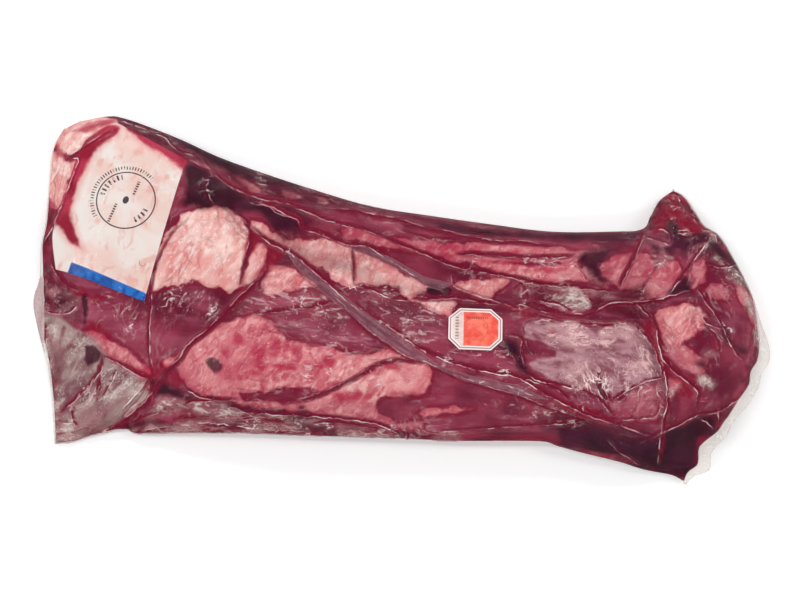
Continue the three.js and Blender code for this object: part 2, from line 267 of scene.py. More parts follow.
# %% Lines in the film
Pleat = namedtuple("Pleat", "wide rise lean shine juice path")
PLEAT_LINES = {
    "long diagonal": Pleat(5, 2.0, 1, 0.9, 0.8, [(234, 212), (250, 226), (269, 243), (291, 254), (319, 276),
        (353, 306), (393, 330), (422, 350), (457, 365), (491, 373), (520, 379), (548, 396), (587, 415),
        (635, 431), (658, 438)]),
    "long diagonal lower": Pleat(2, 1.2, -1, 0.5, 0.5, [(293, 262), (307, 279), (331, 293), (367, 329),
        (405, 355), (426, 362), (465, 379), (520, 396), (560, 411), (594, 422)]),
    "cross": Pleat(3, 2.2, 1, 0.8, 1.0, [(272, 266), (254, 282), (239, 297), (222, 315), (206, 330),
        (189, 343), (179, 358), (159, 379), (149, 396), (136, 409), (120, 422), (101, 432), (73, 444)]),
    "label crease": Pleat(2, 1.5, -1, 0.8, 0.55, [(190, 219), (176, 231), (168, 243), (161, 257), (156, 272),
        (152, 299), (150, 326), (150, 352), (153, 368)]),
    "fat crease": Pleat(1.6, 1.2, 1, 0.7, 0.7, [(243, 225), (249, 232), (247, 249), (242, 266), (238, 286)]),
    "middle": Pleat(2, 1.6, -1, 0.8, 0.6, [(517, 304), (537, 302), (562, 311), (576, 314), (594, 311),
        (611, 303), (631, 302), (654, 300), (670, 296), (690, 290)]),
    "tail": Pleat(2, 1.8, 1, 0.9, 0.8, [(635, 302), (643, 311), (651, 319), (656, 331), (658, 343),
        (662, 358), (672, 370), (684, 380), (694, 388), (697, 394), (695, 407)]),
    "end": Pleat(2, 1.6, 1, 0.9, 0.5, [(696, 290), (706, 302), (717, 319), (727, 337), (735, 353),
        (745, 362)]),
    "end back": Pleat(2, 1.6, -1, 0.9, 0.5, [(711, 237), (702, 249), (692, 264), (682, 278), (670, 294)]),
    "over the ovals": Pleat(1.5, 1.0, -1, 0.4, 0.9, [(645, 229), (643, 239), (635, 258), (627, 274),
        (619, 289)]),
    "upright at the end": Pleat(1.8, 1.3, 1, 0.8, 0.6, [(662, 364), (665, 376), (667, 392), (666, 407),
        (663, 421), (660, 445), (658, 466)]),
    "lower end": Pleat(2, 1.3, -1, 0.7, 0.5, [(741, 395), (737, 400), (721, 411), (700, 415), (684, 423),
        (664, 432), (640, 443)]),
    "back long": Pleat(1.6, 1.1, 1, 0.5, 0.7, [(196, 153), (221, 180), (251, 196), (290, 205), (327, 221),
        (370, 232), (393, 242), (422, 254), (452, 266), (483, 273), (520, 280), (545, 285), (582, 289),
        (623, 294)]),
    "back second": Pleat(2.4, 1.6, 1, 0.8, 0.9, [(250, 200), (271, 207), (284, 214), (297, 220), (302, 229),
        (319, 234), (333, 240), (348, 246), (367, 247), (384, 257), (402, 268), (424, 282)]),
    "back rim": Pleat(1.6, 0.9, -1, 0.5, 0.8, [(319, 207), (353, 210), (396, 218), (422, 226), (457, 233),
        (491, 240), (520, 241), (560, 246)]),
    "under the label": Pleat(2, 1.3, 1, 0.4, 1.0, [(48, 258), (55, 273), (66, 286), (80, 292)]),
    "lower diagonal": Pleat(1.8, 1.3, -1, 0.4, 0.9, [(290, 403), (322, 392), (353, 377), (377, 363),
        (400, 358), (426, 363)]),
    "dark slit": Pleat(1.6, 0.8, 1, 0.3, 0.9, [(250, 315), (284, 312), (319, 306), (338, 303)]),
    "front long": Pleat(1.8, 1.2, 1, 0.8, 0.6, [(229, 406), (246, 412), (262, 414), (290, 416), (330, 418),
        (346, 420), (374, 424), (393, 431), (400, 439)]),
    "skirt fold": Pleat(2.6, 2.0, -1, 0.9, 0.7, [(103, 352), (103, 366), (96, 379), (85, 391), (72, 404),
        (60, 414)]),
    "skirt fold lower": Pleat(1.6, 1.2, 1, 0.4, 0.9, [(71, 405), (71, 418), (76, 429)]),
    "skirt ridge": Pleat(1.8, 1.2, 1, 0.7, 0.4, [(101, 356), (116, 363), (133, 373), (148, 380)]),
    "skirt bottom": Pleat(2.0, 1.2, 1, 0.3, 0.9, [(128, 426), (146, 418), (171, 409), (196, 403), (226, 401),
        (242, 402)]),
    "lobe edge": Pleat(1.4, 0.8, 1, 0.9, 0.2, [(184, 388), (196, 396), (212, 400)]),
    "tent": Pleat(2.0, 1.4, 1, 0.9, 0.0, [(43, 311), (55, 314), (70, 313), (76, 306)]),
    "pocket": Pleat(1.5, 1.0, -1, 0.6, 0.0, [(189, 160), (205, 168), (209, 171), (207, 190), (214, 204)]),
    "pocket right": Pleat(1.5, 1.0, 1, 0.7, 0.3, [(247, 196), (251, 203), (267, 206), (279, 214),
        (290, 217)]),
    "head top": Pleat(1.5, 1.2, 1, 0.9, 0.0, [(118, 126), (101, 135), (85, 145), (68, 157), (78, 159),
        (75, 170), (66, 193), (55, 221), (42, 246)]),
    "head rim": Pleat(1.4, 0.7, 1, 0.7, 0.3, [(112, 118), (130, 124), (160, 135), (177, 150), (196, 156)]),
    "silver slit": Pleat(1.4, -1.2, 0, 0.6, 1.0, [(596, 372), (602, 386), (609, 400)]),
    "silver slit right": Pleat(1.4, -1.0, 0, 0.1, 1.0, [(616, 398), (625, 394), (635, 385)]),
    "silver lower": Pleat(1.5, 1.0, 1, 0.8, 0.7, [(521, 372), (541, 382), (570, 388), (594, 396), (604, 406),
        (613, 417)]),
    "silver back": Pleat(1.2, 0.6, 1, 0.7, 0.0, [(613, 400), (628, 391), (643, 382), (663, 378)]),
    "silver rim": Pleat(1.1, 0.5, 1, 0.55, 0.0, [(634, 328), (645, 337), (653, 349), (659, 363),
        (662, 377)]),
    "silver top": Pleat(1.1, 0.5, -1, 0.5, 0.3, [(524, 338), (522, 328), (528, 319), (548, 320),
        (576, 322)]),
    "silver slit rim": Pleat(1.1, 0.6, 1, 0.7, 0.0, [(593, 374), (594, 382), (602, 397), (608, 400),
        (606, 390), (598, 376)]),
    "red box": Pleat(1.4, 0.9, 1, 0.8, 0.4, [(615, 421), (634, 419), (654, 417), (661, 405), (655, 402)]),
    "drooping corner": Pleat(1.6, 1.0, 1, 0.5, 0.0, [(607, 441), (623, 455), (639, 465)]),
    "bright low": Pleat(1.4, 1.0, -1, 1.0, 0.0, [(613, 422), (635, 431), (658, 440)]),
    "ear left": Pleat(1.2, 0.9, 1, 0.8, 0.0, [(658, 229), (668, 233), (670, 241)]),
    "ear tip": Pleat(1.2, 0.9, 1, 0.9, 0.3, [(673, 194), (679, 200), (678, 207), (673, 211)]),
    "ear foot": Pleat(1.6, 1.0, 1, 0.7, 0.0, [(646, 238), (657, 241), (670, 246)]),
    "end film": Pleat(1.3, 0.9, 1, 0.8, 0.0, [(704, 263), (721, 268), (737, 265)]),
    "end film upper": Pleat(1.4, 0.9, 1, 0.7, 0.0, [(702, 231), (714, 233), (717, 243)]),
    "tail loop": Pleat(1.4, 0.9, 1, 0.8, 0.2, [(702, 318), (707, 324), (722, 330)]),
    "tail loop lower": Pleat(1.3, 0.8, -1, 0.6, 0.1, [(708, 326), (716, 334), (721, 344), (721, 352)]),
    "strap wrinkle": Pleat(1.3, 0.9, 1, 0.8, 0.2, [(570, 264), (578, 270), (586, 281)]),
    "strap wrinkle left": Pleat(1.4, 1.0, -1, 0.7, 0.0, [(512, 289), (521, 282), (529, 292), (530, 302)]),
    "strap wrinkle mid": Pleat(1.3, 0.9, 1, 0.7, 0.0, [(572, 294), (580, 290), (586, 297), (593, 303)]),
    "below the strap": Pleat(1.4, 0.9, 1, 0.6, 0.3, [(451, 274), (453, 285), (465, 292), (491, 300),
        (520, 309)]),
    "sticker hollow": Pleat(1.5, 0.9, 1, 0.5, 0.5, [(505, 335), (520, 339), (521, 352), (524, 366)]),
    "centre upright": Pleat(1.4, 1.0, 1, 0.5, 0.6, [(349, 244), (352, 262), (352, 286)]),
    "centre lower": Pleat(1.3, 0.8, 1, 0.6, 0.7, [(352, 286), (368, 289), (384, 296), (400, 301),
        (411, 300)]),
    "centre link": Pleat(1.3, 0.8, 1, 0.4, 0.8, [(411, 300), (433, 300), (453, 299), (470, 301),
        (500, 306)]),
    "front short": Pleat(1.4, 0.9, 1, 0.8, 0.3, [(405, 427), (407, 433), (405, 441)]),
    "front right": Pleat(1.4, 0.9, 1, 0.5, 0.5, [(432, 435), (446, 432), (480, 429), (520, 427), (562, 424),
        (590, 420)]),
    "front low": Pleat(1.3, 0.8, -1, 0.7, 0.3, [(130, 431), (163, 427), (196, 424), (218, 424), (260, 429),
        (300, 431)]),
    "front middle": Pleat(1.8, 0.9, 1, 0.2, 0.9, [(168, 422), (190, 419), (215, 418), (240, 420), (262, 420),
        (280, 424), (300, 429)]),
    "front foot": Pleat(1.6, 0.6, 1, 0.2, 0.8, [(126, 430), (140, 433), (160, 434), (190, 433), (240, 434),
        (300, 436), (340, 438)]),
    "front last": Pleat(1.6, 0.9, 1, 0.3, 0.9, [(306, 426), (325, 423), (350, 425), (372, 429), (386, 436)]),
    "skirt edge": Pleat(1.5, 0.9, -1, 0.4, 0.9, [(48, 322), (46, 338), (47, 350), (51, 362), (52, 374)]),
    "skirt upper fold": Pleat(1.4, 0.9, 1, 0.2, 0.5, [(62, 322), (61, 334), (58, 345), (60, 354)]),
    "skirt hem": Pleat(1.3, 0.8, 1, 0.9, 0.2, [(53, 421), (64, 423), (75, 424)]),
    "skirt curl": Pleat(1.4, 1.0, -1, 0.9, 0.0, [(76, 409), (85, 405), (92, 399), (95, 390), (96, 383)]),
    "beside the cross": Pleat(1.3, 0.8, 1, 0.6, 0.3, [(118, 421), (132, 408), (142, 396), (149, 382)]),
    "skirt tuck": Pleat(1.8, 1.1, -1, 0.3, 0.9, [(100, 362), (102, 375), (101, 390), (97, 403)]),
    "strap seam": Pleat(1.4, 0.8, 1, 0.4, 0.9, [(452, 256), (475, 255), (500, 257), (530, 259), (562, 258),
        (580, 256)]),
    "strap seam upper": Pleat(1.3, 0.7, 1, 0.3, 0.6, [(392, 228), (415, 236), (440, 240), (470, 239),
        (500, 238)]),
    "band upper": Pleat(1.1, 0.5, 1, 0.6, 0.3, [(514, 305), (526, 306), (538, 311), (556, 314)]),
    "band bright": Pleat(1.2, 0.6, 1, 0.7, 0.4, [(533, 300), (548, 303), (560, 305), (571, 313)]),
    "band low": Pleat(1.2, 0.6, 1, 0.8, 0.3, [(586, 313), (600, 309), (612, 303), (629, 302)]),
    "band seam": Pleat(1.4, 0.7, -1, 0.25, 0.9, [(522, 309), (540, 314), (560, 319), (584, 322), (612, 323),
        (636, 318)]),
    "beside the hollow": Pleat(1.1, 0.5, 1, 0.7, 0.3, [(525, 340), (528, 348), (533, 355)]),
    "corner fold": Pleat(1.3, 0.8, 1, 0.8, 0.2, [(719, 408), (718, 419), (716, 429)]),
    "corner fold left": Pleat(1.2, 0.7, -1, 0.6, 0.2, [(701, 419), (708, 424), (715, 430)]),
    "tail foot": Pleat(1.1, 0.6, 1, 0.8, 0.2, [(652, 402), (658, 404), (664, 408)]),
    "low pleat": Pleat(1.4, 0.8, 1, 0.6, 0.5, [(496, 382), (512, 387), (528, 394), (541, 400)]),
    "low pleat upper": Pleat(1.3, 0.7, 1, 0.6, 0.6, [(522, 379), (545, 385), (560, 393), (570, 402)]),
    "skirt sheen": Pleat(1.5, 1.1, -1, 1.0, 0.0, [(118, 370), (113, 380), (108, 390), (104, 397)]),
    "skirt sheen right": Pleat(1.4, 0.9, 1, 0.9, 0.0, [(146, 380), (140, 390), (131, 400), (121, 410)]),
    "skirt sheen low": Pleat(1.3, 0.8, -1, 0.8, 0.2, [(54, 431), (66, 432), (80, 428), (96, 424)]),
}  # fmt: skip


STEEP_SIDE, GENTLE_SIDE = 0.45, 1.5  # how far a pleat spreads to each side, as a share of its half width
SEEP_BESIDE, SEEP_SPREAD = 1.4, 2.8  # where juice lies beside a pleat's crest, in millimetres


def nearest_on(path, spots, closed=False):
    """From each spot to a line: the distance, on which side the spot lies, and the share of its length."""
    corners = np.vstack([path, path[:1]]) if closed else path
    starts, steps = corners[:-1], np.diff(corners, axis=0)
    lengths = np.hypot(*steps.T)
    run = np.concatenate([[0], np.cumsum(lengths)])
    best = np.full(len(spots), np.inf)
    side, share = np.zeros(len(spots)), np.zeros(len(spots))
    for start, step, length, before in zip(starts, steps, lengths, run):
        out = spots - start
        part = np.clip(out @ step / length**2, 0, 1)
        gap = np.hypot(*(out - part[:, None] * step).T)
        closer = gap < best
        best[closer] = gap[closer]
        side[closer] = np.sign(step[0] * out[closer, 1] - step[1] * out[closer, 0])
        share[closer] = (before + part[closer] * length) / run[-1]
    return best, side, share


def around(path, spots, reach_mm):
    """Which spots of the photograph lie in a box about a path, widened by a reach in millimetres."""
    reach = reach_mm * MM / PIXEL
    return np.flatnonzero(np.all((spots > path.min(0) - reach) & (spots < path.max(0) + reach), axis=1))


def beside_line(line, spots, reach_mm):
    """The spots near a line, with their distance in mm, positive on its gentle side, and its taper."""
    path = smooth_line(line.path, 5)
    near = around(path, spots, reach_mm)
    gap, side, share = nearest_on(path, spots[near])
    taper = np.clip(np.minimum(share, 1 - share) * 7, 0, 1) ** 0.6
    way = side * np.where(line.lean < 0, -1, 1)
    return near, gap * PIXEL / MM * np.where(way == 0, 1, way), taper


def relief_of_lines(spots):
    """How high the lines in the film stand at spots of the photograph, and how much juice lies there."""
    rise, juice = np.zeros(len(spots)), np.zeros(len(spots))
    for line in PLEAT_LINES.values():
        near, gap, taper = beside_line(line, spots, 4 * line.wide + 6)
        spread = line.wide * np.where(gap < 0, STEEP_SIDE, GENTLE_SIDE)
        rise[near] += line.rise * taper * np.exp(-((gap / spread) ** 2))
        seep = line.juice * taper * np.exp(-(((gap + SEEP_BESIDE) / SEEP_SPREAD) ** 2))
        juice[near] = np.maximum(juice[near], seep)
    return rise * MM, juice


CHANNELS = 6
CHANNEL_REACH = 6.5  # millimetres


def shared_out():
    """Shares the lines out over channels, so that lines of one channel lie far apart."""
    channels = [[] for _ in range(CHANNELS)]
    paths = {name: np.array(smooth_line(line.path, 2)) for name, line in PLEAT_LINES.items()}
    for name, path in paths.items():
        clearances = []
        for members in channels:
            gaps = [np.hypot(*(path[:, None] - paths[m][None]).transpose(2, 0, 1)).min() for m in members]
            clearances.append(min(gaps, default=999) - 0.01 * len(members))
        channels[int(np.argmax(clearances))].append(name)
    return channels


def channel_fields(names, spots):
    """Distance to the nearest line of a channel, and how much its crest shines there."""
    gap, shine = np.full(len(spots), CHANNEL_REACH), np.zeros(len(spots))
    for name in names:
        near, here, taper = beside_line(PLEAT_LINES[name], spots, CHANNEL_REACH)
        closer = np.abs(here) < np.abs(gap[near])
        fade = np.clip(2.5 - np.abs(here[closer]) / CHANNEL_REACH * 2.5, 0, 1)
        gap[near[closer]] = here[closer]
        shine[near[closer]] = PLEAT_LINES[name].shine * taper[closer] * fade
    return gap, shine


line_channels = shared_out()
print(len(PLEAT_LINES), "lines in channels of", [len(names) for names in line_channels])

# %% [markdown]
# ## Fine wrinkles
#
# Between the pleats the film is crazed with fine wrinkles that run the same way as the pull. They are made as
# wind makes streaks in sand: a field of random spots is smeared along the direction of the nearest pleats,
# and its zero lines become sharp little ridges. The field is a sheet of heights in the photograph's plane,
# made with fixed seeds, and read off at each vertex.

# %% Wrinkle field
FIELD_STEP = 2  # pixels
SMEAR_STEPS = 9
COARSE_GRAIN, COARSE_SEED = 2, 11
FINE_GRAIN, FINE_SEED = 1, 12
PULL_REACH = 45  # pixels from a line at which its pull has faded


def read_field(field, spots):
    """Values of a field at spots of the photograph, blended between its cells."""
    x = np.clip(spots[:, 0] / FIELD_STEP, 0, field.shape[1] - 1.001)
    y = np.clip(spots[:, 1] / FIELD_STEP, 0, field.shape[0] - 1.001)
    i, j = x.astype(int), y.astype(int)
    a, b = x - i, y - j
    upper = field[j, i] * (1 - a) + field[j, i + 1] * a
    lower = field[j + 1, i] * (1 - a) + field[j + 1, i + 1] * a
    return upper * (1 - b) + lower * b


def pull_angles(spots):
    """Twice the angle at which the film is pulled at each spot, as a vector."""
    total = np.zeros((len(spots), 2))
    total[:, 0] = 0.004
    for line in PLEAT_LINES.values():
        path = smooth_line(line.path, 2)
        for a, b in zip(path, path[1:]):
            angle = 2 * math.atan2(b[1] - a[1], b[0] - a[0])
            away_squared = ((spots - (a + b) / 2) ** 2).sum(1)
            weight = line.wide * np.exp(-away_squared / PULL_REACH**2) / (away_squared + 60)
            total += weight[:, None] * np.array([math.cos(angle), math.sin(angle)])
    return total / np.hypot(*total.T)[:, None]


def smeared_noise(grain, seed, pull):
    """Random spots of one grain, in cells, smeared along the pull, with mean 0 and spread 1."""
    shape = (PHOTO_HIGH // FIELD_STEP, PHOTO_WIDE // FIELD_STEP)
    spots = blurred(np.random.default_rng(seed).standard_normal(shape), grain)
    total = read_field(spots, field_centres)
    for way in (-1, 1):
        here = field_centres.copy()
        for _ in range(SMEAR_STEPS):
            here = here + way * pull * FIELD_STEP
            total += read_field(spots, here)
    total = total.reshape(shape)
    return (total - total.mean()) / total.std()


columns, rows = np.meshgrid(np.arange(PHOTO_WIDE // FIELD_STEP), np.arange(PHOTO_HIGH // FIELD_STEP))
field_centres = np.stack([columns.ravel(), rows.ravel()], axis=1) * float(FIELD_STEP)
doubled = pull_angles(field_centres)
half_angle = np.arctan2(doubled[:, 1], doubled[:, 0]) / 2
pull = np.stack([np.cos(half_angle), np.sin(half_angle)], axis=1)
coarse = smeared_noise(COARSE_GRAIN, COARSE_SEED, pull)
fine = smeared_noise(FINE_GRAIN, FINE_SEED, pull)
wrinkle_field = 0.6 * np.exp(-((coarse / 0.35) ** 2)) + 0.4 * np.exp(-((fine / 0.4) ** 2))
print("wrinkle field of", wrinkle_field.shape, "mean", round(float(wrinkle_field.mean()), 3))

# %% [markdown]
# ## Patches of fat, silverskin, blood and loose film
#
# Patches are outlined once in the photograph's pixels. Each vertex then stores how far inside the nearest
# outline it is, in millimetres, and the material turns that distance into a ragged edge with noise. That
# keeps the edges crisp at any size of mesh. Fat differs from patch to patch, so each one also has a tone,
# from 0 for deep pink to 1 for cream.

# %% Outlines of the patches
FAT = {
    "head": (1.0, [(186, 214), (206, 208), (228, 209), (242, 219), (249, 233), (247, 256), (243, 286),
        (230, 292), (216, 287), (196, 282), (174, 284), (152, 292), (154, 264), (163, 244), (172, 230),
        (180, 220)]),
    "crown": (1.0, [(52, 146), (58, 131), (76, 121), (92, 118), (104, 115), (116, 119), (119, 126),
        (110, 131), (86, 143), (68, 157), (60, 151)]),
    "cheek": (1.0, [(50, 148), (60, 152), (68, 160), (78, 161), (74, 172), (66, 190), (58, 208), (47, 208),
        (46, 180)]),
    "sliver": (0.8, [(262, 243), (268, 250), (266, 258), (259, 272), (250, 284), (244, 285), (244, 272),
        (249, 257), (256, 247)]),
    "centre": (0.8, [(250, 220), (262, 222), (272, 232), (284, 240), (302, 240), (322, 237), (340, 242),
        (349, 245), (360, 250), (381, 261), (402, 273), (422, 284), (428, 288), (420, 292), (410, 299),
        (403, 295), (398, 288), (381, 286), (360, 285), (350, 286), (336, 280), (319, 268), (302, 257),
        (290, 252), (276, 244), (264, 237), (250, 228)]),
    "under the pleat": (0.72, [(272, 266), (284, 266), (297, 270), (307, 278), (316, 285), (302, 288),
        (284, 292), (272, 296), (264, 290), (260, 281)]),
    "lower lobe": (0.38, [(174, 366), (179, 358), (189, 346), (204, 335), (221, 323), (239, 318), (259, 316),
        (271, 321), (277, 331), (290, 339), (307, 343), (326, 346), (340, 352), (342, 392), (332, 415),
        (322, 415), (302, 410), (279, 411), (262, 409), (246, 406), (229, 401), (212, 398), (196, 391),
        (183, 379)]),
    "lobe right": (0.64, [(318, 346), (346, 353), (370, 356), (393, 349), (405, 355), (415, 360), (426, 363),
        (432, 370), (429, 384), (427, 394), (420, 396), (412, 393), (398, 394), (381, 398), (370, 408),
        (340, 402), (316, 396), (320, 372)]),
    "lobe foot": (0.3, [(300, 396), (330, 394), (360, 398), (380, 396), (376, 405), (377, 415), (388, 420),
        (402, 424), (410, 422), (400, 427), (371, 420), (346, 418), (322, 416), (300, 410)]),
    "by the sticker": (0.8, [(412, 300), (433, 300), (453, 299), (457, 304), (449, 316), (437, 312),
        (423, 306)]),
    "strap": (0.3, [(341, 230), (350, 226), (362, 231), (381, 236), (405, 240), (440, 243), (474, 241),
        (520, 243), (562, 249), (584, 254), (576, 262), (540, 262), (500, 262), (470, 264), (452, 262),
        (440, 256), (405, 250), (388, 249), (370, 246), (350, 238)]),
    "strap middle": (0.42, [(470, 258), (500, 261), (530, 266), (550, 264), (566, 264), (574, 262),
        (582, 271), (587, 281), (570, 282), (548, 284), (522, 280), (498, 273), (478, 266)]),
    "strap lower": (0.72, [(456, 285), (474, 281), (500, 279), (509, 281), (498, 289), (489, 300),
        (478, 299), (468, 294)]),
    "oval left": (0.3, [(599, 268), (605, 261), (616, 256), (630, 254), (646, 255), (656, 261), (655, 270),
        (649, 279), (642, 288), (631, 290), (618, 287), (608, 281), (600, 275)]),
    "oval middle": (0.34, [(643, 288), (649, 276), (657, 268), (667, 262), (677, 261), (680, 270),
        (676, 282), (671, 292), (662, 298), (650, 298), (643, 294)]),
    "oval right": (0.24, [(684, 281), (689, 270), (696, 261), (705, 261), (707, 272), (703, 282), (694, 288),
        (686, 287)]),
    "wedge": (0.25, [(582, 264), (594, 268), (602, 277), (614, 284), (606, 288), (594, 283), (583, 276)]),
    "tail": (0.68, [(652, 320), (660, 312), (674, 307), (688, 304), (700, 305), (706, 314), (702, 326),
        (694, 337), (684, 343), (677, 349), (668, 348), (660, 341), (655, 331)]),
    "tail lower": (0.28, [(662, 334), (674, 340), (686, 345), (699, 354), (706, 361), (701, 374), (692, 375),
        (681, 370), (671, 362), (664, 350)]),
    "red corner": (0.04, [(611, 403), (626, 394), (642, 387), (662, 381), (667, 404), (656, 419),
        (616, 422)]),
    "tail low": (0.5, [(667, 378), (680, 382), (676, 392), (668, 402), (664, 394)]),
    "left streak": (0.35, [(84, 332), (96, 330), (106, 338), (122, 346), (136, 356), (147, 368), (152, 375),
        (138, 370), (120, 360), (104, 354), (90, 350), (82, 340)]),
    "notch": (0.5, [(160, 362), (170, 359), (178, 357), (174, 364), (166, 368)]),
    "low streak": (0.45, [(418, 414), (430, 408), (448, 408), (474, 409), (462, 412), (440, 414),
        (424, 418)]),
    "low edge": (0.2, [(400, 424), (422, 420), (424, 426), (404, 430)]),
    "rim 1": (0.4, [(233, 174), (246, 178), (254, 184), (264, 191), (258, 192), (246, 186), (236, 179)]),
    "rim 2": (0.4, [(282, 190), (292, 191), (303, 196), (303, 200), (291, 198), (283, 195)]),
    "rim 3": (0.4, [(310, 194), (319, 195), (331, 200), (324, 203), (314, 199)]),
    "rim long": (0.15, [(410, 213), (450, 218), (482, 223), (522, 230), (520, 234), (482, 229), (448, 223)]),
    "end rim": (0.6, [(736, 284), (744, 286), (752, 298), (758, 312), (761, 326), (754, 324), (747, 308),
        (740, 298)]),
    "end upper": (0.2, [(705, 290), (712, 285), (722, 283), (730, 291), (727, 300), (714, 297)]),
}  # fmt: skip
MUSCLE_OVER_FAT = {
    "strip": [(240, 393), (262, 391), (284, 387), (310, 389), (319, 392), (308, 398), (290, 403), (267, 402),
        (244, 401)],
}  # fmt: skip
SILVERSKIN = {
    "main": [(523, 322), (531, 318), (561, 321), (592, 323), (623, 323), (639, 329), (650, 343), (660, 364),
        (660, 376), (643, 382), (623, 392), (606, 398), (594, 394), (568, 388), (547, 378), (529, 364),
        (538, 359), (557, 358), (557, 350), (541, 341), (525, 337)],
}  # fmt: skip
BLOOD = {
    "beside the head": [(246, 232), (254, 231), (262, 238), (256, 247), (249, 257), (244, 272), (243, 285),
        (239, 284), (243, 256)],
    "under the sliver": [(268, 246), (284, 254), (276, 262), (268, 272), (256, 282), (244, 298), (240, 288),
        (252, 284), (262, 270)],
    "left of the lobe": [(146, 366), (160, 362), (174, 366), (184, 382), (176, 388), (162, 384), (150, 380)],
    "below the left streak": [(128, 364), (146, 372), (158, 384), (150, 396), (140, 384)],
    "beside the left streak": [(88, 322), (104, 328), (118, 338), (106, 338), (92, 330), (84, 330)],
    "by the label": [(68, 282), (84, 290), (104, 298), (96, 304), (78, 297), (66, 290)],
    "crown streak": [(72, 131), (90, 124), (112, 119), (117, 123), (104, 127), (84, 133)],
    "cheek streak": [(53, 143), (62, 149), (69, 157), (72, 166), (64, 162), (54, 151)],
    "left of the crease": [(48, 196), (58, 206), (60, 224), (50, 240), (42, 256), (40, 244), (46, 226)],
    "silver right": [(641, 322), (655, 318), (660, 345), (672, 368), (690, 384), (693, 400), (682, 398),
        (668, 384), (662, 366), (652, 343)],
    "corner seam": [(560, 398), (580, 404), (600, 414), (620, 420), (604, 424), (580, 416), (562, 408)],
    "ear": [(652, 234), (656, 212), (664, 198), (674, 190), (684, 195), (694, 212), (704, 226), (704, 234),
        (688, 234), (668, 232)],
    "between strap and sticker": [(440, 286), (470, 300), (520, 306), (560, 316), (530, 320), (500, 306),
        (460, 298)],
    "low right": [(694, 424), (716, 414), (722, 424), (712, 438), (700, 444)],
}  # fmt: skip
# Nearly black patches of painted shade: pockets, under raised parts, at the foot of the pack and along its
# back rim.
DEEP_SHADE = {
    "pocket": [(187, 162), (206, 170), (214, 178), (229, 188), (247, 196), (268, 204), (290, 210),
        (312, 222), (304, 234), (275, 231), (262, 214), (238, 211), (212, 206), (184, 207)],
    "back rim": [(104, 114), (130, 116), (160, 126), (190, 141), (214, 150), (240, 160), (270, 174),
        (300, 184), (300, 190), (262, 180), (230, 171), (208, 163), (186, 148), (150, 131), (118, 120)],
    "rim band": [(405, 222), (440, 224), (480, 230), (520, 233), (570, 234), (620, 234), (646, 230),
        (646, 236), (600, 240), (560, 239), (520, 238), (480, 236), (440, 230), (405, 227)],
    "below the sticker": [(498, 346), (508, 336), (518, 344), (522, 360), (510, 356)],
    "lower left": [(150, 380), (164, 384), (184, 392), (204, 400), (188, 403), (168, 396), (150, 392)],
    "drooping corner": [(560, 428), (600, 430), (640, 440), (660, 436), (694, 422), (716, 418), (718, 434),
        (700, 440), (695, 470), (688, 480), (672, 476), (650, 468), (620, 460), (600, 451), (576, 448),
        (560, 444)],
    "right of the ear": [(706, 240), (720, 246), (738, 264), (745, 276), (736, 272), (720, 258)],
    "behind the end line": [(716, 314), (726, 326), (736, 342), (744, 352), (738, 352), (728, 342),
        (719, 326)],
    "tail shade": [(694, 363), (702, 358), (711, 362), (706, 371), (698, 370)],
    "silver foot": [(518, 352), (524, 366), (540, 380), (552, 388), (540, 384), (524, 374), (516, 362)],
    "between the ovals": [(668, 292), (684, 276), (692, 282), (690, 292), (676, 297)],
    "ear foot": [(669, 222), (676, 222), (681, 236), (696, 237), (707, 234), (703, 242), (692, 250),
        (686, 258), (678, 252), (669, 254), (660, 248), (668, 244), (670, 236)],
    "under the ear": [(648, 240), (658, 243), (664, 250), (658, 256), (650, 250)],
    "left of the ovals": [(580, 258), (591, 250), (606, 246), (618, 250), (608, 257), (601, 265), (602, 275),
        (609, 281), (602, 285), (591, 277), (584, 267)],
    "strip foot": [(212, 398), (240, 404), (262, 411), (300, 412), (340, 419), (330, 422), (280, 416),
        (240, 410)],
}  # fmt: skip
DARK = {
    "by the sticker": [(424, 288), (440, 284), (452, 290), (450, 296), (430, 296)],
    "slit": [(82, 296), (86, 293), (88, 308), (86, 326), (83, 322)],
    "left hole": [(85, 346), (93, 345), (98, 349), (101, 353), (99, 359), (93, 364), (88, 366), (85, 360)],
    "lobe spot": [(206, 360), (212, 358), (219, 361), (223, 365), (221, 371), (216, 375), (212, 371),
        (208, 368)],
    "silver slit": [(596, 382), (600, 383), (608, 397), (606, 400), (601, 395)],
    "silver slit right": [(617, 398), (626, 391), (635, 384), (634, 389), (625, 396), (619, 400)],
}  # fmt: skip
SKIRT = {
    "skirt": [(40, 306), (56, 316), (75, 330), (86, 332), (100, 346), (112, 362), (134, 374), (148, 381),
        (152, 396), (134, 412), (112, 428), (84, 446), (40, 456), (34, 400), (34, 340)],
}  # fmt: skip
LOOSE_FILM = {
    **SKIRT,
    "front strip": [(110, 440), (140, 416), (165, 398), (184, 400), (204, 406), (240, 410), (290, 418),
        (346, 424), (374, 428), (398, 440), (398, 450), (110, 450)],
    "tent": [(42, 290), (64, 290), (80, 297), (80, 326), (60, 318), (44, 316)],
    "back rim": [(100, 112), (130, 117), (160, 128), (194, 148), (190, 152), (156, 134), (128, 124)],
    "ear foot": [(652, 250), (664, 246), (662, 258), (654, 266), (648, 262)],
    "end top": [(700, 230), (716, 234), (718, 248), (736, 262), (744, 280), (754, 300), (746, 294),
        (728, 272), (712, 258), (704, 246)],
    "end rim": [(742, 282), (752, 300), (760, 330), (758, 346), (750, 320)],
    "below the strap": [(545, 288), (575, 284), (592, 292), (588, 306), (566, 310), (550, 302)],
    "front right": [(430, 436), (445, 430), (476, 436), (480, 446), (436, 446)],
    "low patch": [(540, 408), (556, 410), (563, 417), (548, 419)],
    "tail glint": [(696, 374), (706, 376), (716, 384), (708, 388), (698, 384)],
}  # fmt: skip
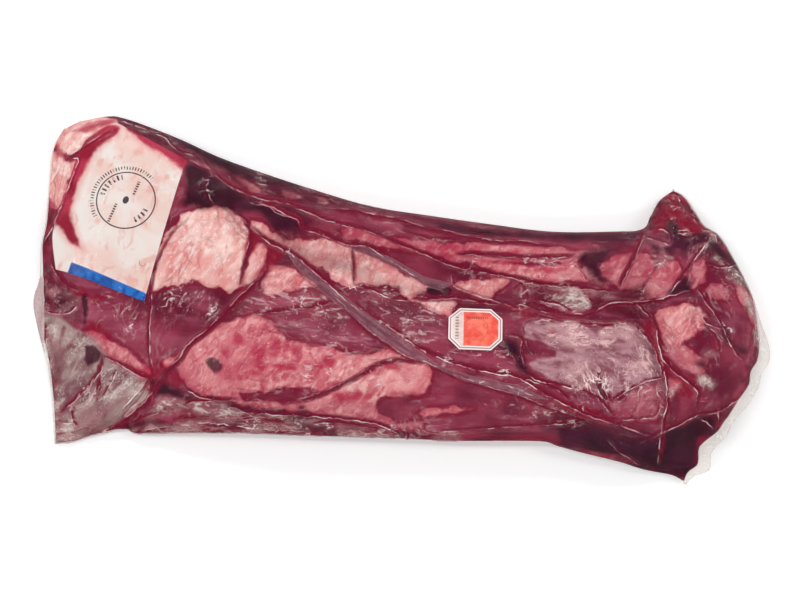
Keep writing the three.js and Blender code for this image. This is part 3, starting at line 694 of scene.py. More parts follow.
DOUBLE_FILM = {
    "long diagonal": [(286, 250), (295, 255), (324, 281), (349, 300), (384, 326), (418, 351), (439, 366),
        (470, 376), (520, 386), (548, 400), (520, 396), (465, 381), (426, 364), (405, 355), (387, 343),
        (361, 323), (335, 302), (308, 279), (294, 264)],
    "upper right": [(344, 244), (360, 246), (392, 258), (424, 277), (452, 284), (440, 290), (424, 286),
        (404, 272), (376, 258), (356, 252)],
}  # fmt: skip
SHADE = {
    "right end": [(700, 236), (722, 240), (742, 268), (752, 290), (742, 288), (724, 262), (704, 252)],
    "low corner": [(736, 396), (724, 430), (712, 445), (690, 488), (600, 462), (540, 446), (540, 426),
        (600, 424), (660, 428), (692, 414), (716, 406)],
    "low right": [(532, 416), (560, 412), (600, 418), (640, 432), (664, 442), (664, 470), (600, 458),
        (545, 446)],
    "back rim": [(104, 112), (150, 122), (200, 145), (300, 182), (400, 208), (520, 226), (646, 226),
        (650, 243), (600, 246), (520, 238), (460, 233), (400, 221), (340, 212), (300, 206), (240, 192),
        (190, 160), (150, 140), (120, 124)],
    "front": [(150, 426), (240, 424), (330, 428), (400, 432), (480, 432), (560, 428), (560, 446), (400, 446),
        (150, 440)],
    "ear": [(652, 236), (656, 210), (666, 190), (684, 192), (704, 226), (706, 240), (680, 240)],
    "tent": [(42, 290), (62, 294), (82, 290), (84, 326), (60, 316), (42, 314)],
}  # fmt: skip
LABEL_STAIN = {
    "fold": [(120, 128), (117, 135), (104, 143), (93, 154), (86, 166), (80, 178), (76, 194), (70, 206),
        (72, 222), (76, 234), (82, 250), (69, 241), (58, 226), (50, 216), (50, 196), (62, 174), (70, 154),
        (88, 136), (108, 124)],
    "top edge": [(124, 123), (150, 134), (172, 144), (190, 156), (188, 178), (180, 168), (167, 157),
        (152, 149), (138, 139), (127, 130)],
}  # fmt: skip
GLARE = {
    "tent": [(46, 310), (60, 308), (74, 302), (79, 306), (70, 312), (54, 316)],
    "tent top": [(48, 293), (55, 288), (60, 292), (54, 298)],
    "skirt top": [(48, 322), (58, 324), (60, 336), (53, 341), (47, 336)],
    "skirt top right": [(63, 329), (76, 332), (81, 338), (76, 345), (67, 341), (62, 335)],
    "skirt fold": [(79, 374), (87, 368), (89, 373), (83, 385), (76, 391), (73, 387)],
    "skirt left": [(51, 393), (58, 385), (63, 392), (67, 402), (58, 412), (51, 408)],
    "skirt toe": [(56, 426), (74, 425), (71, 430), (57, 438), (53, 436)],
    "skirt streak": [(72, 416), (84, 406), (92, 396), (96, 384), (99, 384), (96, 398), (88, 409), (76, 419)],
    "skirt sweep": [(101, 402), (108, 389), (115, 374), (121, 374), (116, 388), (106, 404)],
    "tent fold": [(43, 314), (54, 317), (66, 319), (74, 315), (70, 321), (54, 322), (44, 318)],
    "skirt wing": [(100, 405), (104, 395), (113, 387), (128, 377), (129, 385), (116, 394), (106, 404)],
    "skirt wing top": [(105, 374), (112, 363), (120, 366), (113, 376), (107, 388), (102, 388)],
    "skirt right": [(128, 379), (140, 377), (147, 384), (142, 393), (130, 396)],
    "strip left": [(148, 412), (156, 402), (166, 391), (173, 390), (183, 400), (170, 406), (158, 413)],
    "strip speckled": [(192, 414), (196, 404), (206, 400), (224, 404), (228, 410), (226, 417), (205, 417)],
    "strip low": [(134, 430), (160, 424), (184, 421), (206, 424), (200, 431), (160, 433)],
    "strip middle": [(242, 431), (256, 426), (268, 423), (284, 423), (304, 428), (311, 432), (290, 435),
        (260, 435)],
    "strip upper": [(282, 417), (300, 414), (313, 418), (300, 424), (284, 424)],
    "strip right": [(322, 431), (340, 427), (360, 430), (377, 437), (360, 440), (334, 438)],
    "silver left": [(548, 320), (575, 322), (592, 330), (594, 342), (580, 350), (560, 348), (546, 334)],
    "silver top": [(598, 332), (612, 325), (632, 325), (643, 333), (648, 342), (637, 343), (622, 341),
        (608, 347), (597, 342)],
    "silver low": [(563, 360), (586, 359), (593, 372), (588, 387), (571, 384), (558, 372)],
    "silver right": [(626, 368), (640, 358), (649, 358), (656, 370), (640, 377), (626, 377)],
    "silver tip": [(609, 404), (620, 399), (627, 404), (618, 411)],
    "below the strap": [(558, 296), (566, 289), (575, 288), (583, 296), (591, 306), (573, 311), (558, 305)],
    "beside it": [(591, 288), (604, 291), (619, 299), (606, 300), (593, 295)],
    "ear foot": [(658, 258), (662, 248), (669, 247), (672, 252), (667, 264), (662, 273), (657, 270)],
    "ear side": [(646, 237), (662, 239), (670, 246), (660, 248), (649, 243)],
    "end top": [(704, 232), (715, 232), (719, 243), (711, 247), (705, 240)],
    "end side": [(724, 268), (738, 265), (739, 285), (729, 280)],
    "end rim": [(738, 289), (748, 288), (754, 304), (756, 318), (750, 316), (744, 304)],
    "tail top": [(684, 312), (699, 306), (706, 317), (696, 323), (687, 318)],
    "tail side": [(700, 352), (705, 347), (714, 350), (718, 355), (707, 358)],
    "tail glint": [(697, 374), (706, 375), (717, 384), (711, 389), (700, 382)],
    "tail foot": [(666, 380), (676, 378), (681, 383), (678, 391), (670, 399), (665, 390)],
    "lobe right": [(340, 384), (350, 379), (362, 386), (354, 393), (343, 391)],
    "pocket": [(210, 188), (217, 183), (226, 188), (228, 196), (218, 201), (208, 196)],
}  # fmt: skip
GLITTER = {
    "left": [(228, 316), (238, 302), (256, 292), (284, 289), (316, 287), (332, 291), (338, 300), (300, 307),
        (262, 312), (240, 318)],
    "lower": [(266, 316), (300, 314), (338, 305), (350, 312), (348, 330), (332, 345), (304, 343), (284, 335),
        (274, 326)],
    "right": [(372, 290), (392, 296), (400, 310), (430, 300), (448, 318), (440, 338), (420, 345), (400, 338),
        (386, 318), (372, 304)],
    "silver": [(590, 340), (610, 336), (624, 346), (620, 360), (600, 366), (590, 356)],
    "silver right": [(624, 368), (642, 356), (652, 358), (657, 374), (630, 384)],
    "below the strap": [(545, 290), (575, 286), (592, 296), (590, 308), (566, 312), (548, 304)],
    "strip": [(150, 414), (168, 390), (206, 400), (240, 408), (232, 418), (190, 416)],
    "strip low": [(136, 432), (170, 422), (210, 422), (290, 424), (310, 433), (240, 434)],
    "ear": [(656, 262), (662, 246), (674, 248), (668, 274)],
}  # fmt: skip
BLUSH = {
    "tent": [(42, 292), (60, 296), (80, 292), (80, 326), (60, 318), (42, 316)],
    "skirt low": [(70, 436), (77, 412), (92, 405), (110, 402), (132, 396), (142, 398), (122, 420),
        (100, 434)],
    "skirt seam": [(50, 340), (60, 340), (66, 360), (60, 384), (52, 384)],
    "front right": [(428, 434), (446, 428), (478, 434), (484, 448), (434, 448)],
    "left bulge": [(28, 276), (46, 276), (47, 300), (46, 340), (42, 352), (28, 340)],
    "glitter low": [(270, 318), (300, 312), (340, 318), (340, 340), (300, 344), (276, 334)],
    "strip": [(120, 430), (150, 412), (180, 404), (200, 414), (250, 416), (300, 426), (330, 422), (376, 430),
        (330, 440), (130, 440)],
}  # fmt: skip
SPOTS = {  # across, down, half width, half height, in pixels
    "blood": [
        (259, 352, 5, 7), (276, 346, 6, 9), (286, 346, 4, 5), (281, 366, 8, 3), (291, 366, 5, 4),
        (308, 366, 6, 4), (241, 376, 5, 3), (253, 373, 8, 3), (239, 337, 5, 7), (320, 366, 9, 3),
        (551, 332, 4, 3), (352, 396, 18, 5), (335, 384, 10, 3), (372, 372, 10, 4), (480, 254, 40, 2.5),
        (430, 247, 30, 2), (520, 262, 30, 3), (545, 270, 20, 3), (398, 264, 8, 4), (329, 362, 6, 5),
        (296, 352, 4, 5), (262, 368, 5, 4), (226, 352, 4, 5), (390, 366, 8, 3),
    ],
    "dark": [(302, 408, 3, 2)],
    # Where the film gets painted curly glints.
    "worms": [
        (124, 318, 26, 26), (188, 312, 30, 26), (330, 325, 34, 16), (398, 322, 60, 26), (440, 300, 24, 12),
        (522, 318, 14, 34), (590, 300, 44, 12), (236, 186, 36, 18), (722, 345, 16, 24), (600, 385, 50, 16),
        (640, 405, 30, 18), (300, 300, 44, 16), (480, 362, 40, 20), (110, 300, 30, 10), (560, 400, 60, 22),
        (300, 432, 130, 12), (690, 215, 24, 26), (380, 285, 40, 14), (350, 372, 60, 20), (202, 250, 40, 30),
        (320, 252, 40, 16), (230, 350, 40, 24), (520, 270, 60, 16), (685, 325, 24, 26), (640, 275, 30, 18),
    ],
}  # fmt: skip
DEPTH_REACH = 15  # millimetres outside an outline at which its depth isn't worked out further


def depth_inside(outlines, spots, tones=None):
    """How far inside the nearest outline each spot is, in millimetres, negative outside, and its tone."""
    deepest, tone = np.full(len(spots), -float(DEPTH_REACH)), np.full(len(spots), 0.5)
    for number, outline in enumerate(outlines):
        path = np.array(outline, float)
        near = around(path, spots, DEPTH_REACH)
        here = spots[near]
        gap, _, _ = nearest_on(path, here, closed=True)
        inside = np.zeros(len(here), bool)
        for (ax, ay), (bx, by) in zip(path, np.roll(path, -1, axis=0)):
            if ay != by:
                crosses = (ay > here[:, 1]) != (by > here[:, 1])
                inside ^= crosses & (here[:, 0] < ax + (here[:, 1] - ay) / (by - ay) * (bx - ax))
        depth = np.where(inside, gap, -gap) * PIXEL / MM
        deeper = depth > deepest[near]
        deepest[near[deeper]] = depth[deeper]
        if tones is not None:
            tone[near[deeper]] = tones[number]
    return deepest if tones is None else (deepest, tone)


def depth_in_spots(spots_of_one_kind, spots):
    """The same as depth_inside, for little ellipses."""
    deepest = np.full(len(spots), -float(DEPTH_REACH))
    for x, y, half_wide, half_high in spots_of_one_kind:
        out = np.hypot((spots[:, 0] - x) / half_wide, (spots[:, 1] - y) / half_high)
        deepest = np.maximum(deepest, (1 - out) * min(half_wide, half_high) * PIXEL / MM)
    return deepest


print(len(FAT), "patches of fat,", len(GLARE), "of glare and", len(SPOTS["blood"]), "spots of blood")

# %% [markdown]
# ## The meat
#
# The meat is a closed shell a hair inside the film. It stops short of the bag's edge, most of all at the
# welded end, where a strip of clear film is left over. Its top gets the same pleats as the film but lower,
# because juice fills the hollow under each.

# %% Meat
MEAT_CELLS = (400, 180)
BAG_LONG, BAG_WIDE = 560, 240
# Millimetres of clear film beyond the meat, by the share of the end's length from its front corner.
CLEAR_STRIP = {0: 3, 0.08: 12, 0.12: 12, 0.18: 9, 0.23: 7, 0.29: 10, 0.35: 9, 0.43: 11, 0.47: 9, 0.53: 5,
               0.59: 2, 0.66: 1.3, 1: 1.3}  # fmt: skip
CLEAR_TAB = {0: 1.3, 0.25: 2, 0.32: 3, 0.38: 7, 0.44: 9, 0.47: 7, 0.52: 2.5, 0.62: 1.3, 1: 1.3}
CLEAR_SIDE = 1.2
MEAT_GAP = 0.7 * MM
MEAT_FOOT = 0.4 * MM
MEAT_LEAST = 0.2 * MM
MEAT_PLEATS = 0.35  # how much of a pleat's height the meat takes up
FAT_BULGE = 0.5 * MM


def clear_ends(v):
    """Shares of the bag's length that are clear at its left and right ends."""
    return [np.interp(v, list(ends), list(ends.values())) / BAG_LONG for ends in (CLEAR_TAB, CLEAR_STRIP)]


def meat_plan(u, v):
    """The bag's plan, less the clear film round the meat."""
    left, right = clear_ends(v)
    side = CLEAR_SIDE / BAG_WIDE
    return in_plan(left + u * (1 - left - right), side + v * (1 - 2 * side))


def rim_joined(top_points, bottom_points):
    """Brings the rims of an upper and a lower sheet together."""
    ring = np.zeros(top_points.shape[:2], bool)
    ring[[0, -1], :] = ring[:, [0, -1]] = True
    top_points[ring, 2] = bottom_points[ring, 2] = (top_points[ring, 2] + bottom_points[ring, 2]) / 2


meat_top, meat_order, meat_above = laid_sheet("meat", MEAT_CELLS, True, meat_plan)
meat_low, meat_low_order, meat_below = laid_sheet("meat_low", MEAT_CELLS, False, meat_plan)
spots = on_photo(meat_above.reshape(-1, 3))
fat_outlines = [outline for _, outline in FAT.values()]
fat_tones = [tone for tone, _ in FAT.values()]
pleat_rise, _ = relief_of_lines(spots)
fat_bulge = FAT_BULGE * np.clip(depth_inside(fat_outlines, spots) / 3, -1, 1)
meat_above[..., 2] += (MEAT_PLEATS * pleat_rise + fat_bulge).reshape(meat_above.shape[:2]) - MEAT_GAP
meat_below[..., 2] += MEAT_FOOT
meat_above[..., 2] = np.maximum(meat_above[..., 2], meat_below[..., 2] + MEAT_LEAST)
rim_joined(meat_above, meat_below)
write_points(meat_top, meat_order, meat_above)
write_points(meat_low, meat_low_order, meat_below)
# How deep the top lies in a hollow, for the painted shade in hollows.
hollow = (blurred(meat_above[..., 2], 7) - meat_above[..., 2]) / MM
set_attribute(meat_top, "hollow", hollow.ravel()[np.argsort(meat_order)])
# Distance from the bag's ends and sides, for painted shade towards the edges.
share_v, share_u = np.mgrid[0 : 1 : hollow.shape[0] * 1j, 0 : 1 : hollow.shape[1] * 1j]
from_end = np.minimum(share_u, 1 - share_u) * BAG_LONG
from_side = np.minimum(share_v, 1 - share_v) * BAG_WIDE
set_attribute(meat_top, "rim", np.minimum(from_end, from_side).ravel()[np.argsort(meat_order)])
meat = welded("meat", meat_top, meat_low, keep_below=0.55)

# %% [markdown]
# ## The paper label
#
# The label lies on the meat, under the film. It is a thin sheet of paper that takes the shape of what is
# below it. Its own across and up distances are stored in millimetres, for the print.

# %% Paper label
LABEL_CELLS = (64, 104)
LABEL_RIGHT_EDGE = [(-196.5, -10.6), (-166.5, 103.5)]
LABEL_LEFT_EDGE = [
    (-266.5, 17.5), (-270.5, 46), (-265, 64), (-257, 88), (-251.5, 107), (-243, 122), (-223.5, 136),
]  # fmt: skip
PAPER_THICK = 0.25 * MM
LABEL_LIFT = 0.15 * MM


def label_plan(u, v):
    """The label in plan, stretched between its left and right edges."""
    right = at_share(np.array(LABEL_RIGHT_EDGE), v)
    left = at_share(smooth_line(LABEL_LEFT_EDGE), v)
    return (left * (1 - u[..., None]) + right * u[..., None]) * MM


def paper_skin(sheet, name, thickness):
    """Gives a sheet its thickness and smooth shading."""
    bpy.context.view_layer.objects.active = sheet
    skin = sheet.modifiers.new("paper", "SOLIDIFY")
    skin.thickness = thickness
    skin.offset = 1
    bpy.ops.object.modifier_apply(modifier=skin.name)
    bpy.ops.object.select_all(action="DESELECT")
    sheet.select_set(True)
    bpy.ops.object.shade_smooth_by_angle(angle=math.radians(50))
    sheet.name = sheet.data.name = name
    print(name, "has", len(sheet.data.polygons), "faces")


label_laid = laid_sheet("label_paper", LABEL_CELLS, True, label_plan, target=meat, blur=2)
label, label_order, label_points = label_laid
label_points[..., 2] += LABEL_LIFT
write_points(label, label_order, label_points)
back_to_mesh = np.argsort(label_order)
near_corner, left_corner = np.array(LABEL_RIGHT_EDGE[0]), np.array(LABEL_LEFT_EDGE[0])
rightward = (near_corner - left_corner) / np.hypot(*(near_corner - left_corner))
upward = np.array([-rightward[1], rightward[0]])
from_corner = label_points[..., :2].reshape(-1, 2)[back_to_mesh] / MM - near_corner
set_attribute(label, "across", from_corner @ rightward)
set_attribute(label, "up", from_corner @ upward)
label_spots = on_photo(label_points.reshape(-1, 3))
stain = depth_inside(LABEL_STAIN.values(), label_spots)
set_attribute(label, "stain", stain[back_to_mesh])
paper_skin(label, "label_paper", PAPER_THICK)

# %% [markdown]
# ## The film
#
# The film is a second closed shell over the meat. Its pleats stand at full height, and the fine wrinkles are
# strongest where the film is loose.

# %% Film
FILM_CELLS = (440, 190)
FILM_LEAST = 0.3 * MM
WRINKLE_RISE = 0.7 * MM
LABEL_RISE = 0.5 * MM
LABEL_ON_PHOTO = [(117, 125), (187, 161), (144, 300), (56, 270), (53, 235), (60, 212), (72, 183), (80, 160),
                  (92, 143)]  # fmt: skip
STICKER_ON_PHOTO = [(460, 304), (490, 304), (502, 315), (502, 340), (491, 350), (460, 350), (448, 340),
                    (448, 316)]  # fmt: skip

film_top, film_order, film_above = laid_sheet("bag_film", FILM_CELLS, True, in_plan)
film_low, film_low_order, film_below = laid_sheet("bag_film_low", FILM_CELLS, False, in_plan)
spots = on_photo(film_above.reshape(-1, 3))
pleat_rise, _ = relief_of_lines(spots)
loose_outlines = [*LOOSE_FILM.values(), *SILVERSKIN.values()]
looseness = np.clip(depth_inside(loose_outlines, spots) / 4 + 0.5, 0, 1)
over_label = np.clip(depth_inside([LABEL_ON_PHOTO], spots) / 2 + 1.5, 0, 1)
over_sticker = np.clip(depth_inside([STICKER_ON_PHOTO], spots) / 2 + 1.5, 0, 1)
over_fat = np.clip(depth_inside(fat_outlines, spots) / 4 + 0.5, 0, 1)
in_skirt = np.clip(depth_inside(SKIRT.values(), spots) / 4 + 0.5, 0, 1)
strength = 0.5 + 0.9 * looseness + 0.8 * in_skirt
strength *= (1 - 0.5 * over_fat) * (1 - 0.7 * over_label) * (1 - over_sticker)
rise = pleat_rise + WRINKLE_RISE * strength * read_field(wrinkle_field, spots) + LABEL_RISE * over_label
film_above[..., 2] += rise.reshape(film_above.shape[:2])
film_above[..., 2] = np.maximum(film_above[..., 2], film_below[..., 2] + FILM_LEAST)
rim_joined(film_above, film_below)
for sheet, order, points in ((film_top, film_order, film_above), (film_low, film_low_order, film_below)):
    write_points(sheet, order, points)
    share_v, share_u = np.mgrid[0 : 1 : points.shape[0] * 1j, 0 : 1 : points.shape[1] * 1j]
    left, right = clear_ends(share_v)
    beyond = np.maximum(left - share_u, share_u - (1 - right)) * BAG_LONG
    set_attribute(sheet, "bare", beyond.ravel()[np.argsort(order)])
film = welded("bag_film", film_top, film_low, keep_below=0.55)

# %% [markdown]
# ## The octagonal sticker
#
# The sticker is on the film. An eight-sided face is cut into small faces and dropped on to the film. Its
# border is printed.

# %% Sticker
STICKER_AT = (57, -33.5)
STICKER_HALF = (20.5, 17.5)
STICKER_CUT = 8.5
STICKER_CELLS = 24  # cells along each edge of the octagon
STICKER_LIFT = 0.08 * MM
STICKER_TURN = math.radians(-2)

half_long, half_wide = STICKER_HALF
corners = []
for sx, sy in ((1, -1), (1, 1), (-1, 1), (-1, -1)):
    on_long = (sx * (half_long - STICKER_CUT), sy * half_wide)
    on_short = (sx * half_long, sy * (half_wide - STICKER_CUT))
    corners += [on_long, on_short] if sx * sy < 0 else [on_short, on_long]
bpy.ops.object.select_all(action="DESELECT")
bpy.ops.mesh.primitive_circle_add(vertices=8, fill_type="NGON", radius=1)
sticker = bpy.context.object
for vertex, (x, y) in zip(sticker.data.vertices, corners):
    vertex.co = (x * MM, y * MM, 0)
bpy.ops.object.mode_set(mode="EDIT")
bpy.ops.mesh.select_all(action="SELECT")
bpy.ops.mesh.poke()
bpy.ops.mesh.subdivide(number_cuts=STICKER_CELLS - 1)
bpy.ops.object.mode_set(mode="OBJECT")
flat = np.array([v.co for v in sticker.data.vertices])
set_attribute(sticker, "across", flat[:, 0] / MM)
set_attribute(sticker, "up", flat[:, 1] / MM)
turn = np.array([[math.cos(STICKER_TURN), math.sin(STICKER_TURN)],
                 [-math.sin(STICKER_TURN), math.cos(STICKER_TURN)]])  # fmt: skip
flat[:, :2] = flat[:, :2] @ turn + np.array(STICKER_AT) * MM
flat[:, 2] = DROP_FROM
sticker.data.vertices.foreach_set("co", flat.ravel())
dropped_on(sticker, film, above=True)
landed = np.array([v.co for v in sticker.data.vertices])
landed[:, 2] += STICKER_LIFT
sticker.data.vertices.foreach_set("co", landed.ravel())
paper_skin(sticker, "sticker", PAPER_THICK)

# %% [markdown]
# ## Marking the patches on the pieces
#
# The underside isn't in the photograph. A point below the rim is read as if the pack were unfolded there, so
# fat and juice run on round the side. Where the film comes down to the table behind the pack it is clear, and
# its crinkles are calmed there, or they would look like marks on the table.

# %% Patch distances
RIM_HEIGHT = 13 * MM
FOOT_HEIGHT, FOOT_BEHIND = 4 * MM, 20 * MM
FOOT_ENDS = 645  # the pixel across where the raised corner of the bag starts
CALM_FOOT = 5.0


def seen_spots(piece):
    """Where on the photograph the vertices of a piece are seen, with its underside unfolded."""
    points = np.array([v.co for v in piece.data.vertices])
    facing = np.array([v.normal for v in piece.data.vertices])[:, 2]
    below = facing < -0.05
    points[below, 2] = 2 * RIM_HEIGHT - np.minimum(points[below, 2], RIM_HEIGHT)
    return on_photo(points)


meat_spots = seen_spots(meat)
fat_depth, fat_tone = depth_inside(fat_outlines, meat_spots, fat_tones)
set_attribute(meat, "fat", np.minimum(fat_depth, -depth_inside(MUSCLE_OVER_FAT.values(), meat_spots)))
set_attribute(meat, "tone", fat_tone)
set_attribute(meat, "juice", relief_of_lines(meat_spots)[1])

film_spots = seen_spots(film)
film_points = np.array([v.co for v in film.data.vertices])
foot = (film_points[:, 2] < FOOT_HEIGHT) & (film_points[:, 1] > FOOT_BEHIND) & (film_spots[:, 0] < FOOT_ENDS)
calm = depth_inside([LABEL_ON_PHOTO, STICKER_ON_PHOTO], film_spots)
set_attribute(film, "calm", np.where(foot, CALM_FOOT, calm))
set_attribute(film, "worms", depth_in_spots(SPOTS["worms"], film_spots))

on_meat = {"silverskin": SILVERSKIN, "blood": BLOOD, "dark": DARK, "deep": DEEP_SHADE, "skirt": SKIRT,
           "shade": SHADE}  # fmt: skip
on_film = {"loose": LOOSE_FILM, "double": DOUBLE_FILM, "dark": DARK, "tight": SILVERSKIN, "deep": DEEP_SHADE,
           "glare": GLARE, "glitter": GLITTER, "blush": BLUSH}  # fmt: skip
for piece, spots, kinds in ((meat, meat_spots, on_meat), (film, film_spots, on_film)):
    for name, outlines in kinds.items():
        depth = np.maximum(depth_inside(outlines.values(), spots), depth_in_spots(SPOTS.get(name, ()), spots))
        set_attribute(piece, name, depth)

WAYS = (0, 60, 120)  # degrees at which streaks can run
for piece, spots in ((meat, meat_spots), (film, film_spots)):
    pulled = pull_angles(spots)
    for way in WAYS:
        doubled = math.radians(-2 * way)
        along = pulled @ np.array([math.cos(doubled), math.sin(doubled)])
        set_attribute(piece, f"way{way}", np.clip(along, 0, 1))
for number, names in enumerate(line_channels):
    gap, shine = channel_fields(names, film_spots)
    set_attribute(film, f"gap{number}", gap)
    set_attribute(film, f"shine{number}", shine)
for piece in (meat, film):
    print(piece.name, "attributes:", [a.name for a in piece.data.attributes if a.data_type == "FLOAT"])

# %% [markdown]
# ## Helpers for materials
#
# Every material is a small tree of nodes. These helpers add a node with its settings and links in one line.

# %% Node helpers
def plug(tree, socket, value):
    """Links an output to a socket, or sets the socket to a plain value."""
    if isinstance(value, bpy.types.NodeSocket):
        tree.links.new(value, socket)
    else:
        socket.default_value = value


def add(tree, kind, links=(), **settings):
    """Adds a node. Settings are its properties, and links gives its inputs, each a value or a socket."""
    node = tree.nodes.new(kind)
    for name, value in settings.items():
        setattr(node, name, value)
    for name, value in dict(links).items():
        plug(tree, node.inputs[name], value)
    return node


def maths(tree, operation, a, b=0.0, clamp=False):
    return add(tree, "ShaderNodeMath", {0: a, 1: b}, operation=operation, use_clamp=clamp).outputs[0]


def times(tree, *values):
    """The product of values and sockets."""
    product = values[0]
    for value in values[1:]:
        product = maths(tree, "MULTIPLY", product, value)
    return product


def total(tree, *values, clamp=False):
    """The sum of values and sockets."""
    result = values[0]
    for value in values[1:]:
        result = maths(tree, "ADD", result, value, clamp=clamp)
    return result


def mixed(tree, share, a, b):
    """A colour between a and b, by a share from 0 to 1."""
    node = add(tree, "ShaderNodeMix", data_type="RGBA")
    for name, value in (("Factor_Float", share), ("A_Color", a), ("B_Color", b)):
        plug(tree, next(s for s in node.inputs if s.identifier == name), value)
    return next(s for s in node.outputs if s.identifier == "Result_Color")


def between(tree, value, low, high, to_low=0.0, to_high=1.0):
    """Maps a value between two limits smoothly to 0 and 1, or to the limits given."""
    links = {"Value": value, "From Min": low, "From Max": high, "To Min": to_low, "To Max": to_high}
    return add(tree, "ShaderNodeMapRange", links, interpolation_type="SMOOTHSTEP").outputs["Result"]


def band(tree, value, middle, half, soft):
    """One where a value is within half of a middle, with a soft border."""
    off = maths(tree, "ABSOLUTE", maths(tree, "SUBTRACT", value, middle))
    return between(tree, off, half + soft, half)


def attribute(tree, name):
    """The number stored at the vertices under a name."""
    return add(tree, "ShaderNodeAttribute", attribute_name=name).outputs["Fac"]


def noise(tree, scale, detail=3.0, long=1.0, turn=0.0, distortion=0.0, shift=0.0):
    """Noise on the object's own coordinates, drawn out along a direction if asked."""
    place = add(tree, "ShaderNodeTexCoord").outputs["Object"]
    links = {"Vector": place, "Location": (shift, 0, shift), "Rotation": (0, 0, turn), "Scale": (long, 1, 1)}
    moved = add(tree, "ShaderNodeMapping", links, vector_type="TEXTURE")
    links = {"Vector": moved.outputs[0], "Scale": scale, "Detail": detail, "Distortion": distortion}
    return add(tree, "ShaderNodeTexNoise", links).outputs["Fac"]


def new_group(name, inputs, outputs):
    """A node group whose inputs, each with its default, and outputs are all plain numbers."""
    group = bpy.data.node_groups.new(name, "ShaderNodeTree")
    for label_text, default in inputs.items():
        socket = group.interface.new_socket(name=label_text, in_out="INPUT", socket_type="NodeSocketFloat")
        socket.default_value = default
    for label_text in outputs:
        group.interface.new_socket(name=label_text, in_out="OUTPUT", socket_type="NodeSocketFloat")
    entry = group.nodes.new("NodeGroupInput")
    leave = group.nodes.new("NodeGroupOutput")
    return group, entry.outputs, leave.inputs


def new_material(name, piece):
    """An empty material on a piece. Returns its tree and the socket that its shader goes to."""
    material = bpy.data.materials.new(name)
    material.use_nodes = True
    material.node_tree.nodes.clear()
    piece.data.materials.clear()
    piece.data.materials.append(material)
    return material.node_tree, material.node_tree.nodes.new("ShaderNodeOutputMaterial").inputs["Surface"]


# %% Ragged edge group
ragged_edge, given, gives = new_group(
    "ragged edge",
    {"Depth": 0.0, "Raggedness": 1.5, "Grain": 120.0, "Softness": 0.6},
    ["Mask"],
)
place = add(ragged_edge, "ShaderNodeTexCoord").outputs["Object"]
grain = add(ragged_edge, "ShaderNodeTexNoise", {"Vector": place, "Scale": given["Grain"], "Detail": 4.0})
off_middle = maths(ragged_edge, "SUBTRACT", grain.outputs["Fac"], 0.5)
shift = times(ragged_edge, off_middle, 4.0, given["Raggedness"])
torn = maths(ragged_edge, "ADD", given["Depth"], shift)
outer = maths(ragged_edge, "MULTIPLY", given["Softness"], -1.0)
plug(ragged_edge, gives["Mask"], between(ragged_edge, torn, outer, given["Softness"]))


def patch_mask(tree, name, raggedness=1.5, grain=120.0, softness=0.6):
    """One inside the patches of a name and 0 outside, with a ragged edge."""
    links = {"Depth": attribute(tree, name), "Raggedness": raggedness, "Grain": grain, "Softness": softness}
    return add(tree, "ShaderNodeGroup", node_tree=ragged_edge, links=links).outputs["Mask"]


# %% Crinkle group
crinkle, given, gives = new_group(
    "crinkle",
    {"Turn": 0.0, "Size": 130.0, "Long": 3.0, "Width": 0.05},
    ["Line", "Height"],
)
place = add(crinkle, "ShaderNodeTexCoord").outputs["Object"]
turned = add(crinkle, "ShaderNodeCombineXYZ", {2: given["Turn"]}).outputs[0]
drawn_out = add(crinkle, "ShaderNodeCombineXYZ", {0: given["Long"], 1: 1.0, 2: 1.0}).outputs[0]
links = {"Vector": place, "Rotation": turned, "Scale": drawn_out}
moved = add(crinkle, "ShaderNodeMapping", links, vector_type="TEXTURE").outputs[0]
links = {"Vector": moved, "Scale": given["Size"], "Detail": 2.0, "Distortion": 0.6}
wave = add(crinkle, "ShaderNodeTexNoise", links).outputs["Fac"]
off = maths(crinkle, "ABSOLUTE", maths(crinkle, "SUBTRACT", wave, 0.5))
links = {"Vector": moved, "Scale": times(crinkle, given["Size"], 0.8), "Detail": 1.0}
gate = between(crinkle, add(crinkle, "ShaderNodeTexNoise", links).outputs["Fac"], 0.48, 0.62)
plug(crinkle, gives["Line"], times(crinkle, between(crinkle, off, given["Width"], 0.0), gate))
plug(crinkle, gives["Height"], between(crinkle, off, 0.12, 0.0))


def pulled_lines(tree, sizes):
    """Fine lines that run along the pull, of one or more sizes, each (size, long, width)."""
    lines, ridges = 0.0, 0.0
    for way in WAYS:
        weight = attribute(tree, f"way{way}")
        for size, long, width in sizes:
            links = {"Turn": math.radians(way), "Size": size, "Long": long, "Width": width}
            one = add(tree, "ShaderNodeGroup", node_tree=crinkle, links=links)
            lines = maths(tree, "MAXIMUM", lines, times(tree, one.outputs["Line"], weight))
            ridges = total(tree, ridges, times(tree, one.outputs["Height"], weight))
    return lines, ridges


# %% [markdown]
# ## The meat's finish
#
# Muscle is a dull mauve red with faint fibres along the pack. Fat is cream to pink, mottled, with fine red
# veins and painted flecks of sheen. Silverskin is a thin grey-pink sheet with a satin streak. Juice and blood
# are deep crimson. Shade is painted into the colour too: dark crimson in the hollows, in the shade patches
# and towards the edges, nearly black in the deep patches, and light and shade along the folds of the loose
# skirt.
# The slits and holes are nearly black as well.

# %% Meat material
JUICE_RED = "7e0f2e"
tree, surface = new_material("raw meat", meat)
fibres = noise(tree, 90.0, 5.0, long=5.0, turn=-0.12)
cloud = noise(tree, 24.0, 3.0)
muscle = mixed(tree, between(tree, cloud, 0.36, 0.64), colour("66162f"), colour("90344a"))
muscle = mixed(tree, between(tree, fibres, 0.5, 0.68, 0.0, 0.45), muscle, colour("a8526a"))

skin_streak = noise(tree, 150.0, 5.0, long=2.0, turn=-0.3)
silverskin = mixed(tree, between(tree, skin_streak, 0.38, 0.62), colour("80404f"), colour("ae7c86"))

